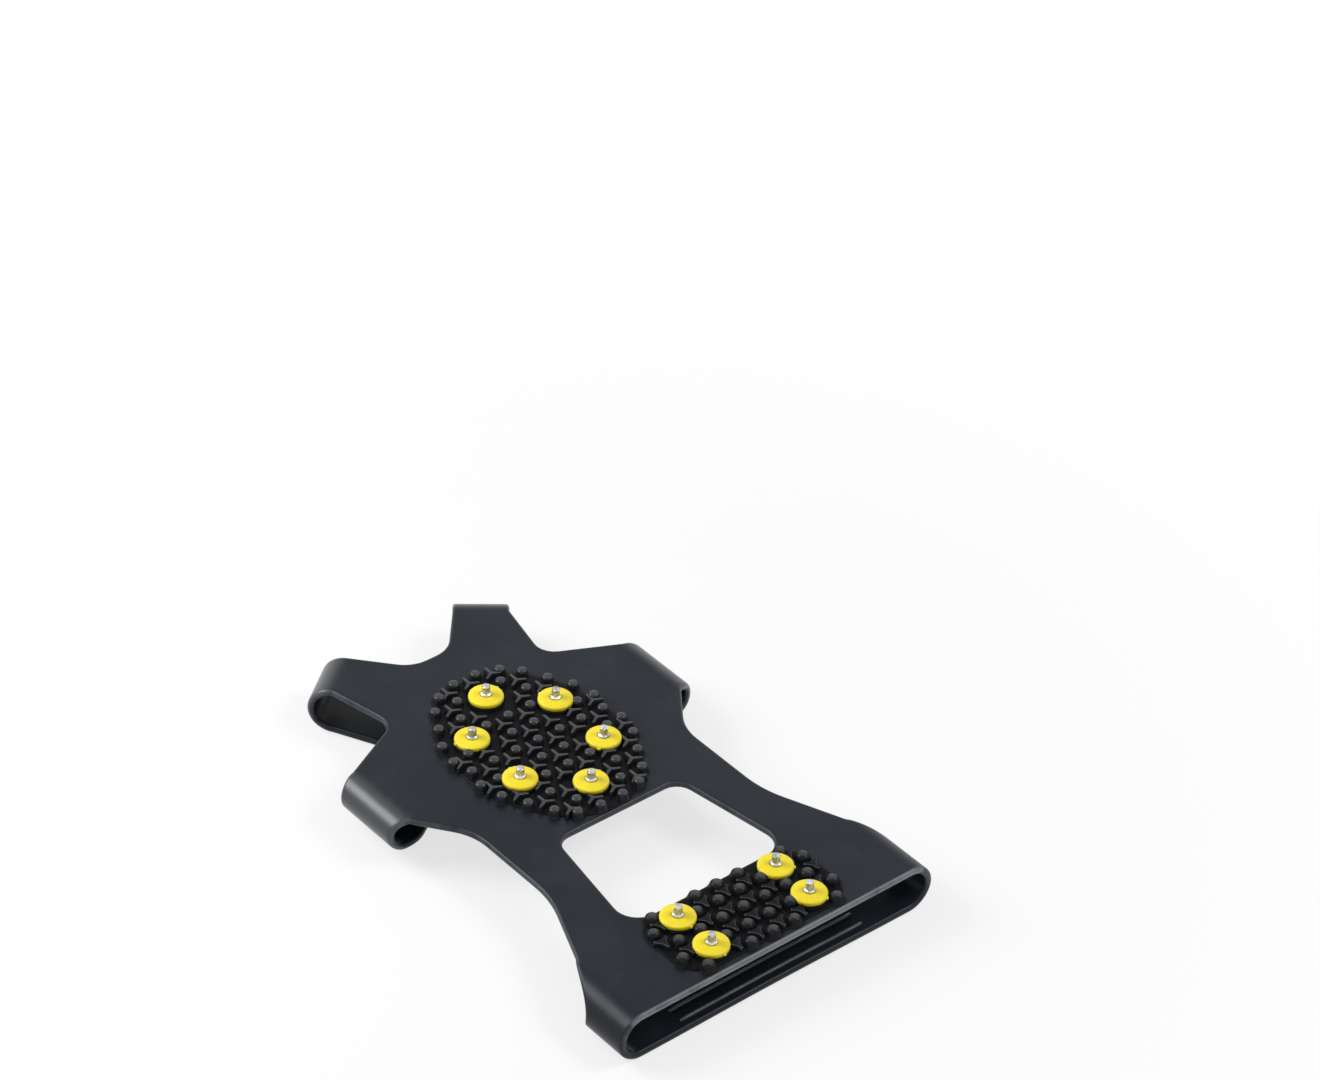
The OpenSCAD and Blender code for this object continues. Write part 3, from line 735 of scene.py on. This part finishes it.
def roll_at(p):
    """How far out on the outer face of a rolled edge a point lies, from 0 on the flat to 1. The
    rolls of the forefoot are stretched and smooth, those of the heel hardly. The heel's rear lip
    goes up to 2, and above 1 the finish paints a highlight on it."""
    x, y, z = abs(p[0]), p[1], p[2]
    if x < FOLD_X + LOOP_R / 2 and y < HEEL_EDGE_Y + EDGE_ROUND and z > LOOP_HEIGHT - RUBBER:
        # The heel's rear lip gets a painted highlight through its roll mark above 1.
        return HEEL_LIP_HIGHLIGHT_MARK * eased((HEEL_EDGE_Y + EDGE_ROUND + LIP_LAP - y) / EDGE_ROUND)
    toe_reach = np.array([x, y]) @ TOE_OUT - TOE_FOLD @ TOE_OUT
    if y < WINDOW_FRONT_Y:
        reach, r, most = x - FOLD_X, LOOP_R, HEEL_MARK
    elif toe_reach > -ROLL_START:
        reach, r, most = toe_reach, LOOP_R, TOE_MARK
    else:
        reach, r, most = x - WING_X, WING_R, WING_MARK
    outer = math.hypot(max(reach, 0.0), z - LOOP_HEIGHT + r) > r - RUBBER / 2
    return most * eased((reach + ROLL_START) / r) if outer else 0.0


def edge_paling_at(p):
    """How much paler a free edge is painted, partly as wear and partly as highlight: hardly on the
    lower sheets near the floor, where the edges lie in shade.
    """
    # Lower edges get less painted highlight, as they lie in shade.
    return LEAST_EDGE_PALING + (1 - LEAST_EDGE_PALING) * eased((p[2] - RUBBER) / LOOP_R)


def rubber_piece(name, skin):
    return mesh_object(name, skin.points, skin.faces, RUBBER_FINISH,
                       edge=[e * edge_paling_at(p) for e, p in zip(skin.edge, skin.points)],
                       caps=skin.caps, roll=[roll_at(p) for p in skin.points])


sole_piece = rubber_piece("sole_skin", sole)
rim_piece = rubber_piece("toe_rim_skin", rim)
band_piece = rubber_piece("heel_band_skin", band)


# Small forms that repeat

def lathe(profile, segments):
    """Points and faces of a turned form from (radius, height) pairs; a radius of 0 closes it."""
    points, faces, rows = [], [], []
    for r, z in profile:
        count = segments if r else 1
        rows.append([len(points) + k % count for k in range(segments)])
        for k in range(count):
            a = 2 * math.pi * k / segments
            points.append((r * math.cos(a), r * math.sin(a), z))
    for low, high in zip(rows[:-1], rows[1:]):
        for k in range(segments):
            m = (k + 1) % segments
            ids = distinct([low[k], low[m], high[m], high[k]])
            if len(ids) > 2:
                faces.append(ids)
    return points, faces


def stacked(rings):
    """Points and faces of a form through (outline, height) rings, closed at its top."""
    points, rows = [], []
    for outline, z in rings:
        rows.append(list(range(len(points), len(points) + len(outline))))
        points += [(p[0], p[1], z) for p in outline]
    n = len(rows[0])
    faces = [
        [low[k], low[(k + 1) % n], high[(k + 1) % n], high[k]]
        for low, high in zip(rows[:-1], rows[1:]) for k in range(n)]
    faces.append(rows[-1])
    return points, faces


def raised(outline, height, round_over, foot, top_mark=1.0):
    """A low ridge over a flat outline, wider at its foot and rounded at its top. Its upper edge
    is marked for wear and a painted highlight, and its top as much as the caller says."""
    outline = np.array(outline)
    normals = -inward_normals(outline, True)
    steps = ((foot, 0.0, 0.0), (foot * 0.3, height * 0.22, 0.25),
             (0.0, height - round_over, 0.55),
             (-round_over * 0.35, height - round_over * 0.3, 1.0),
             (-round_over, height, top_mark))
    points, faces = stacked([(outline + normals * out, z) for out, z, mark in steps])
    return points, faces, [mark for out, z, mark in steps for p in outline]


def three_armed(arm, width):
    """Outline of a ridge with three straight arms and round ends."""
    outline = []
    for k in range(3):
        a = math.radians(90 + 120 * k)
        along = heading(a)
        across = left_of(along)
        outline.append(heading(a - math.radians(60)) * width * 0.75)
        for t in (-90, -35, 35, 90):
            t = math.radians(t)
            outline.append(along * (arm - width / 2 + width / 2 * math.cos(t))
                           + across * width / 2 * math.sin(t))
    return outline


def star_ridge(pitch, cell, overlap):
    """Outline of a ridge between three pegs, hollowed towards each by a round cell."""
    middle = pitch / math.sqrt(3)
    reach = pitch / (2 * math.sqrt(3)) + overlap
    outline = []
    for k in range(3):
        a = math.radians(90 + 120 * k)
        along = heading(a)
        across = left_of(along)
        outline += [along * reach + across * side * (pitch - cell) / 2 for side in (-1, 1)]
        corner = a + math.radians(60)
        centre = middle * heading(corner)
        for t in (-24, -8, 8, 24):
            outline.append(centre + cell / 2 * heading(corner + math.pi - math.radians(t)))
    return outline


def scatter_tree():
    """Geometry nodes: a form placed on each point, turned and sized by the point's own values."""
    tree = bpy.data.node_groups.new("forms_on_points", "GeometryNodeTree")
    face = tree.interface
    face.new_socket("Geometry", in_out="INPUT", socket_type="NodeSocketGeometry")
    for name, kind in (("Form", "NodeSocketObject"), ("Finish", "NodeSocketMaterial")):
        face.new_socket(name, in_out="INPUT", socket_type=kind)
    face.new_socket("Geometry", in_out="OUTPUT", socket_type="NodeSocketGeometry")
    new, link = tree.nodes.new, tree.links.new
    start, end = new("NodeGroupInput"), new("NodeGroupOutput")
    info, place = new("GeometryNodeObjectInfo"), new("GeometryNodeInstanceOnPoints")
    turn, size = new("GeometryNodeInputNamedAttribute"), new("GeometryNodeInputNamedAttribute")
    for node, name in ((turn, "turn"), (size, "size")):
        node.data_type = "FLOAT"
        node.inputs["Name"].default_value = name
    spin = new("ShaderNodeCombineXYZ")
    real, dress = new("GeometryNodeRealizeInstances"), new("GeometryNodeSetMaterial")
    link(start.outputs["Geometry"], place.inputs["Points"])
    link(start.outputs["Form"], info.inputs["Object"])
    link(info.outputs["Geometry"], place.inputs["Instance"])
    link(turn.outputs["Attribute"], spin.inputs["Z"])
    link(spin.outputs["Vector"], place.inputs["Rotation"])
    link(size.outputs["Attribute"], place.inputs["Scale"])
    link(place.outputs["Instances"], real.inputs["Geometry"])
    link(real.outputs["Geometry"], dress.inputs["Geometry"])
    link(start.outputs["Finish"], dress.inputs["Material"])
    link(dress.outputs["Geometry"], end.inputs["Geometry"])
    return tree


SCATTER = scatter_tree()


def placed(name, form, spots, finish, turns=None, sizes=None, smooth=True):
    """One mesh with a copy of a form on each spot, made by the tree above. A form is its points
    and faces, and may add its edge marks and roll marks."""
    points, faces = form[0], form[1]
    template = mesh_object(name + "_form", points, faces, finish, smooth=smooth,
                           edge=form[2] if len(form) > 2 else None,
                           roll=form[3] if len(form) > 3 else None)
    cloud = bpy.data.meshes.new(name + "_spots")
    cloud.from_pydata([tuple(np.array(p) * MM) for p in spots], [], [])
    for label, values, plain in (("turn", turns, 0.0), ("size", sizes, 1.0)):
        layer = cloud.attributes.new(label, "FLOAT", "POINT")
        layer.data.foreach_set("value", np.array(
            values if values is not None else [plain] * len(spots), np.float32))
    holder = add_object(name + "_holder", cloud)
    modifier = holder.modifiers.new("forms", "NODES")
    modifier.node_group = SCATTER
    ids = {s.name: s.identifier for s in SCATTER.interface.items_tree if s.in_out == "INPUT"}
    modifier[ids["Form"]] = template
    modifier[ids["Finish"]] = finish
    bpy.context.view_layer.update()
    result = holder.evaluated_get(bpy.context.evaluated_depsgraph_get())
    mesh = bpy.data.meshes.new_from_object(result)
    mesh.name = name
    holder.modifiers.remove(modifier)
    bpy.data.objects.remove(holder)
    bpy.data.objects.remove(template)
    return add_object(name, mesh)


def joined(name, objects):
    """Several made meshes as one."""
    bm = bmesh.new()
    for o in objects:
        bm.from_mesh(o.data)
    first = objects[0].data.materials[0]
    mesh = bpy.data.meshes.new(name)
    bm.to_mesh(mesh)
    bm.free()
    mesh.materials.append(first)
    for o in objects:
        bpy.data.objects.remove(o)
    return add_object(name, mesh)


def clear_of(p, studs, reach):
    """Whether a place is further than that from every stud."""
    return all(math.hypot(p[0] - s[0], p[1] - s[1]) > reach for s in studs)


def oval_share(p, margin):
    """How far out in the oval of the forefoot tread, less a margin, a place lies: 1 on its edge."""
    half_x, half_y = OVAL_HALF
    return math.hypot(p[0] / (half_x - margin), (p[1] - TREAD_Y) / (half_y - margin))


def onto_oval(p, margin):
    """A place of the forefoot tread, drawn in where it lies outside the oval less a margin."""
    share = max(oval_share(p, margin), 1.0)
    return p[0] / share, TREAD_Y + (p[1] - TREAD_Y) / share


def in_heel(p, margin):
    """Inside the rounded pad of the heel tread."""
    x = abs(p[0]) - PAD_HALF[0] + PAD_ROUND
    y = abs(p[1] - HEEL_TREAD_Y) - PAD_HALF[1] + PAD_ROUND
    return math.hypot(max(x, 0.0), max(y, 0.0)) + min(max(x, y), 0.0) < PAD_ROUND - margin


def lattice(y, rows, across, pitch, closer=1.0):
    """Places in staggered rows about the centre line."""
    return [((i + (j % 2) / 2) * pitch, y + j * pitch * closer * math.sqrt(3) / 2)
            for j in range(-rows, rows + 1) for i in range(-across, across + 1)]


def peg_profile(foot, shoulder, dome):
    """A moulded peg: flared foot, sloping side and a top with that much dome."""
    top = PEG_HEIGHT
    return [(foot + 0.35, 0.0), (foot + 0.05, 0.28), (foot - 0.1, 0.8),
            (shoulder + 0.12, top - 0.75 - dome), (shoulder - 0.08, top - 0.28 - dome * 0.7),
            (shoulder * 0.72, top - 0.05 - dome * 0.25), (shoulder * 0.4, top), (0, top + 0.02)]


def marked_top(form, from_z, side_mark):
    """The same form with its points marked: 0 at the foot, a given mark up the side, 1 on top."""
    return form[0], form[1], [1.0 if p[2] > from_z else min(p[2], side_mark) for p in form[0]]


def tread_base(outline, middle_y):
    """A thin pad with a soft edge under a tread."""
    outline = np.array(outline)
    middle = np.array([0.0, middle_y])
    points, faces = stacked([
        (middle + (outline - middle) * share, TOP + BASE_HEIGHT * rise)
        for share, rise in ((1.0, 0.0), (0.994, 0.6), (0.978, 0.9), (0.93, 1.0))])
    faces.append(list(range(len(outline)))[::-1])
    return points, faces


def on_sole(places):
    """Places as points on the face of the sole."""
    return [(x, y, TOP) for x, y in places]


# How much the pegs vary in size, and the raised seat under each disc
chance = np.random.default_rng(7)
PEG_VARIES = 0.012
seat_profile = [(6.9, 0), (6.55, 0.25), (6.4, 1.0), (6.2, 1.35), (5.6, 1.43), (0, 1.43)]
seat = lathe(seat_profile, segments=40)
seat_form = (*seat, [0.0] * len(seat[0]))

# Forefoot tread: border pegs are drawn onto the oval's edge and kept off the window
BORDER_REACH, BORDER_MARGIN, RIDGE_REACH = 2.6, 0.4, 0.9
PEG_CLEAR, RIDGE_CLEAR = DISC_R + 0.9, DISC_R + 0.8
# The marks on pegs and ridges set where the tread finish paints shade at the foot and a highlight on
# top.
front_peg = marked_top(lathe(peg_profile(foot=2.35, shoulder=1.8, dome=0.1), segments=16),
                       from_z=2.9, side_mark=0.45)
front_ridge = raised(three_armed(arm=3.6, width=0.9), height=2.35, round_over=0.15, foot=0.4,
                     top_mark=0.9)
pegs = [onto_oval(p, BORDER_MARGIN) for p in lattice(TREAD_Y, rows=6, across=5, pitch=PITCH)
        if oval_share(p, -BORDER_REACH) < 1]
pegs = [(x, max(y, WINDOW_FRONT_Y + WINDOW_MARGIN)) for x, y in pegs
        if clear_of((x, y), FRONT_STUDS, PEG_CLEAR)]
ridges = [(x + PITCH, y + PITCH / math.sqrt(3))
          for x, y in lattice(TREAD_Y, rows=6, across=6, pitch=PITCH)]
ridges = [p for p in ridges
          if oval_share(p, -RIDGE_REACH) < 1 and clear_of(p, FRONT_STUDS, RIDGE_CLEAR)]
oval = [(OVAL_HALF[0] * math.cos(a), TREAD_Y + OVAL_HALF[1] * math.sin(a))
        for a in np.linspace(0, 2 * math.pi, 96, endpoint=False)]
front_tread = joined("forefoot_tread_forms", [
    mesh_object("forefoot_base", *tread_base(oval, TREAD_Y), TREAD_FINISH, edge=0.1),
    placed("forefoot_pegs", front_peg, on_sole(pegs), TREAD_FINISH,
           sizes=1 + chance.normal(0, PEG_VARIES, len(pegs))),
    placed("forefoot_ridges", front_ridge, on_sole(ridges), TREAD_FINISH),
    placed("forefoot_seats", seat_form, on_sole(FRONT_STUDS), TREAD_FINISH),
])

# Heel tread: larger pegs, and ridges turned the other way round
HEEL_PEG_MARGIN, HEEL_RIDGE_MARGIN = 0.6, 0.8
HEEL_PEG_CLEAR, HEEL_RIDGE_CLEAR = DISC_R + 1.0, DISC_R + 0.3
heel_peg = marked_top(lathe(peg_profile(foot=2.8, shoulder=2.25, dome=0.6), segments=18),
                      from_z=2.86, side_mark=0.24)
heel_ridge = raised(star_ridge(HEEL_PITCH, cell=7.7, overlap=0.4), height=2.1, round_over=0.4,
                    foot=0.15, top_mark=0.2)
heel_spots = lattice(HEEL_TREAD_Y, rows=3, across=5, pitch=HEEL_PITCH, closer=ROW_CLOSER)
heel_pegs = [
    (x, min(y, WINDOW_REAR_Y - WINDOW_MARGIN)) for x, y in heel_spots
    if in_heel((x, y), HEEL_PEG_MARGIN) and clear_of((x, y), HEEL_STUDS, HEEL_PEG_CLEAR)]
heel_ridges = [(x, y - HEEL_PITCH * ROW_CLOSER / math.sqrt(3)) for x, y in heel_spots]
heel_ridges = [
    p for p in heel_ridges
    if in_heel(p, HEEL_RIDGE_MARGIN) and clear_of(p, HEEL_STUDS, HEEL_RIDGE_CLEAR)]
pad_corners = [(x * PAD_HALF[0], y * PAD_HALF[1], PAD_ROUND)
               for x, y in ((-1, 1), (-1, -1), (1, -1), (1, 1))]
pad = rounded([(0, PAD_HALF[1]), *pad_corners, (0, PAD_HALF[1])])[:-1]
pad = resampled(pad + np.array([0.0, HEEL_TREAD_Y]), PAD_STEP)
heel_tread = joined("heel_tread_forms", [
    mesh_object("heel_base", *tread_base(pad, HEEL_TREAD_Y), TREAD_FINISH, edge=0.0),
    placed("heel_pegs", heel_peg, on_sole(heel_pegs), TREAD_FINISH,
           sizes=1 + chance.normal(0, PEG_VARIES, len(heel_pegs))),
    placed("heel_ridges", heel_ridge, on_sole(heel_ridges), TREAD_FINISH,
           turns=[math.pi] * len(heel_ridges)),
    placed("heel_seats", seat_form, on_sole(HEEL_STUDS), TREAD_FINISH),
])

# Stud discs: rounded rim, low crown, soil round the bore and the stub of the moulding gate
BORE_R, SOIL_REACH, DISC_SEGMENTS = 1.5, 1.6, 64
GATE_HEIGHT, GATE_Z = 0.7, 0.45
disc_profile = [
    (BORE_R, 0.05), (5.6, 0), (5.86, 0.1), (DISC_R, 0.35), (DISC_R, 1.15), (5.9, 1.42),
    (5.66, 1.6), (5.2, 1.72), (4.2, 1.88), (3.2, 2.0), (2.5, 2.06), (2.2, 2.02),
    (2.06, 1.86), (BORE_R, 1.84)]
disc_points, disc_faces = lathe(disc_profile, DISC_SEGMENTS)
disc_marks = [max(0.0, 1 - (r - BORE_R) / SOIL_REACH)
              for r, z in disc_profile for k in range(DISC_SEGMENTS)]
gate_side = [(5.85, 0.55), (6.35, 0.5), (6.5, 0.25)]
gate_outline = [(x, -y) for x, y in gate_side] + gate_side[::-1]
gate_points, gate_faces, _ = raised(gate_outline, GATE_HEIGHT, round_over=0.15, foot=0.0)
disc_form = (disc_points + [(x, y, z + GATE_Z) for x, y, z in gate_points],
             disc_faces + [[i + len(disc_points) for i in face] for face in gate_faces],
             disc_marks + [0.0] * len(gate_points))

# Steel studs: base plate under the sole, shank, collar and a hammered tip
TIP_FROM, HAMMERED = 22.0, 0.04
pin_profile = [
    (0, 15.2), (3.9, 15.22), (4.15, 15.32), (4.2, 15.5), (4.2, 16.3), (1.5, 16.32), (1.5, 21.1),
    (1.98, 21.15), (2.05, 21.45), (2.0, 21.8), (1.75, 22.05), (1.5, 22.25), (1.44, 22.9),
    (1.4, 23.6), (1.38, 24.3), (1.4, 24.6), (1.22, 24.9), (0.7, 25.03), (0, 25.0)]
pin_points, pin_faces = lathe(pin_profile, segments=12)
pin_points = [
    (x * (1 + chance.normal(0, HAMMERED)), y * (1 + chance.normal(0, HAMMERED)),
     z + chance.normal(0, HAMMERED)) if z > TIP_FROM else (x, y, z) for x, y, z in pin_points]
pin_form = (pin_points, pin_faces)


def stud_set(label, studs):
    """Discs and pins of one tread, each pair turned at random."""
    turns = list(chance.uniform(0, 2 * math.pi, len(studs)))
    discs = placed(label + "_stud_discs", disc_form, [(x, y, DISC_SEAT) for x, y in studs],
                   YELLOW_FINISH, turns=turns)
    pins = placed(label + "_stud_pins", pin_form, [(x, y, 0.0) for x, y in studs], STEEL_FINISH,
                  turns=turns, smooth=False)
    return discs, pins


front_discs, front_pins = stud_set("forefoot", FRONT_STUDS)
heel_discs, heel_pins = stud_set("heel", HEEL_STUDS)

# Two thin ribs on the inner face of the heel band, bowed with it, with a painted highlight along
# their edges
RIB_HEIGHT, RIB_POINTS, RIB_HIGHLIGHT_MARK = 0.62, 25, 1.7
rib_side = [(x, -RIB_WIDTH / 2) for x in np.linspace(-RIB_HALF, RIB_HALF, RIB_POINTS)]
rib_outline = rib_side + [(-x, -y) for x, y in rib_side]
rib_points, rib_faces, rib_marks = raised(rib_outline, RIB_HEIGHT, round_over=0.2, foot=0.15)
# The ribs' roll marks go above 1, so the finish paints a highlight along their tops.
rib = ([(x, y, z + band_level(x, 0) + RUBBER / 2 - SINK) for x, y, z in rib_points], rib_faces,
       rib_marks, [RIB_HIGHLIGHT_MARK * mark for mark in rib_marks])
rib_spots = [(0, HEEL_EDGE_Y + RIB_INSET + i * RIB_SPACING, 0) for i in range(2)]
ribs = placed("heel_band_ribs", rib, rib_spots, RUBBER_FINISH)

# Every piece on its body
for piece, body, slot, nodes in (
    (front_tread, "forefoot", "tread_rubber", ["forefoot_tread"]),
    (heel_tread, "heel", "tread_rubber", ["heel_tread"]),
    (front_discs, "forefoot", "yellow_plastic", [f"stud_disc_{i}" for i in range(1, 7)]),
    (heel_discs, "heel", "yellow_plastic", [f"stud_disc_{i}" for i in range(7, 11)]),
    (front_pins, "forefoot", "steel", [f"stud_pin_{i}" for i in range(1, 7)]),
    (heel_pins, "heel", "steel", [f"stud_pin_{i}" for i in range(7, 11)]),
    (ribs, "band", "moulded_rubber", []),
):
    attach(piece, body)
    if nodes:
        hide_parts(*nodes)

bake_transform(sole_piece)
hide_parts("forefoot_sole", "heel_sole")
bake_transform(rim_piece)
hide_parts("toe_rim")
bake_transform(band_piece)
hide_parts("heel_band")


# Floor, light and camera, in metres

def seen_directly(tree):
    """1 for what the camera sees, straight or by a mirror or through glass, and 0 for other light."""
    path = tree.nodes.new("ShaderNodeLightPath")
    straight, mirrored_in, through = (Wire(tree, path.outputs[name]) for name in (
        "Is Camera Ray", "Is Glossy Ray", "Is Transmission Ray"))
    return straight + mirrored_in + through


def pale_floor():
    """White paper: the camera sees it partly lit and partly as plain white, with the shadow."""
    f = Finish("pale_floor", Roughness=0.9, Specular_IOR_Level=0.1)
    at = f.place()
    f.set(Base_Color=f.mix(f.noise(at, 40.0, 3.0), (0.88, 0.88, 0.88), (0.90, 0.90, 0.90)))
    glow = f.tree.nodes.new("ShaderNodeEmission")
    blend = f.tree.nodes.new("ShaderNodeMixShader")
    distance = f.node("ShaderNodeVectorMath", output=1, settings={"operation": "LENGTH"}, Vector=at)
    away = f.band(distance, 0.12, 0.34, 0.72, 1.0)
    f.tree.links.new((seen_directly(f.tree) * away).socket, blend.inputs[0])
    f.tree.links.new(f.shader.outputs[0], blend.inputs[1])
    f.tree.links.new(glow.outputs[0], blend.inputs[2])
    f.tree.links.new(blend.outputs[0], f.tree.nodes["Material Output"].inputs["Surface"])
    return f.material


FLOOR_HALF, FLOOR_Z = 6.0, -0.0002
floor_mesh = bpy.data.meshes.new("floor")
floor_mesh.from_pydata(
    [(x * FLOOR_HALF, y * FLOOR_HALF, FLOOR_Z) for x, y in ((-1, -1), (1, -1), (1, 1), (-1, 1))],
    [], [(0, 1, 2, 3)])
floor_mesh.materials.append(pale_floor())
floor = add_object("floor", floor_mesh)

LIGHT_TARGET = (0, 0, 0.01)


def soft_light(name, direction, distance, size, power):
    """A square light that far from the cleat in a direction, turned towards it."""
    data = bpy.data.lights.new(name, "AREA")
    data.shape = "RECTANGLE"
    data.size = data.size_y = size
    data.energy = power
    lamp = add_object(name, data)
    place = Vector(tuple(distance * unit(np.array(direction))))
    lamp.location = place
    lamp.rotation_mode = "QUATERNION"
    lamp.rotation_quaternion = (Vector(LIGHT_TARGET) - place).to_track_quat("-Z", "Y")


soft_light("key_light", (-0.52, 0.58, 0.62), distance=0.8, size=0.42, power=4.8)
soft_light("top_light", (0.47, -0.44, 0.77), distance=1.1, size=0.4, power=4.0)
soft_light("fill_light", (-0.75, -0.55, 0.60), distance=1.3, size=0.9, power=1.0)

AMBIENT = 0.36
world = bpy.data.worlds.new("studio")
bpy.context.scene.world = world
world.use_nodes = True
tree = world.node_tree
background = tree.nodes["Background"]
background.inputs["Color"].default_value = (1, 1, 1, 1)
strength = seen_directly(tree) * (1 - AMBIENT) + AMBIENT
tree.links.new(strength.socket, background.inputs["Strength"])

# The camera stands where the photograph's stood: the way to it, and the picture's right and up
turn, rise, roll = math.radians(-39.25), math.radians(38.9), math.radians(1.4)
back = Vector((math.sin(turn) * math.cos(rise), -math.cos(turn) * math.cos(rise), math.sin(rise)))
right = Vector((math.cos(turn), math.sin(turn), 0.0))
up = back.cross(right)
right, up = (right * math.cos(roll) + up * math.sin(roll),
             up * math.cos(roll) - right * math.sin(roll))

# Focal length, picture width and the way from the forefoot tread to the picture's middle, in pixels
FOCAL, WIDE = 4500.0, 1320.0
MIDDLE_RIGHT, MIDDLE_UP = 122.1, 196.1
CAMERA_DISTANCE, SUBJECT_Z, SENSOR = 1.49, 0.0212, 36.0
subject = Vector((0.0, TREAD_Y * MM, SUBJECT_Z))
axis = (-back + right * (MIDDLE_RIGHT / FOCAL) + up * (MIDDLE_UP / FOCAL)).normalized()
side = (right - axis * right.dot(axis)).normalized()
camera_data = bpy.data.cameras.new("camera")
camera_data.sensor_width = SENSOR
camera_data.lens = SENSOR * FOCAL / WIDE
camera_data.clip_start, camera_data.clip_end = 0.05, 30.0
camera = add_object("camera", camera_data)
rows = Matrix((side, side.cross(axis), -axis)).transposed()
camera.matrix_world = Matrix.Translation(subject + back * CAMERA_DISTANCE) @ rows.to_4x4()
bpy.context.scene.camera = camera

bpy.context.scene.view_settings.view_transform = "Standard"

bpy.context.view_layer.update()
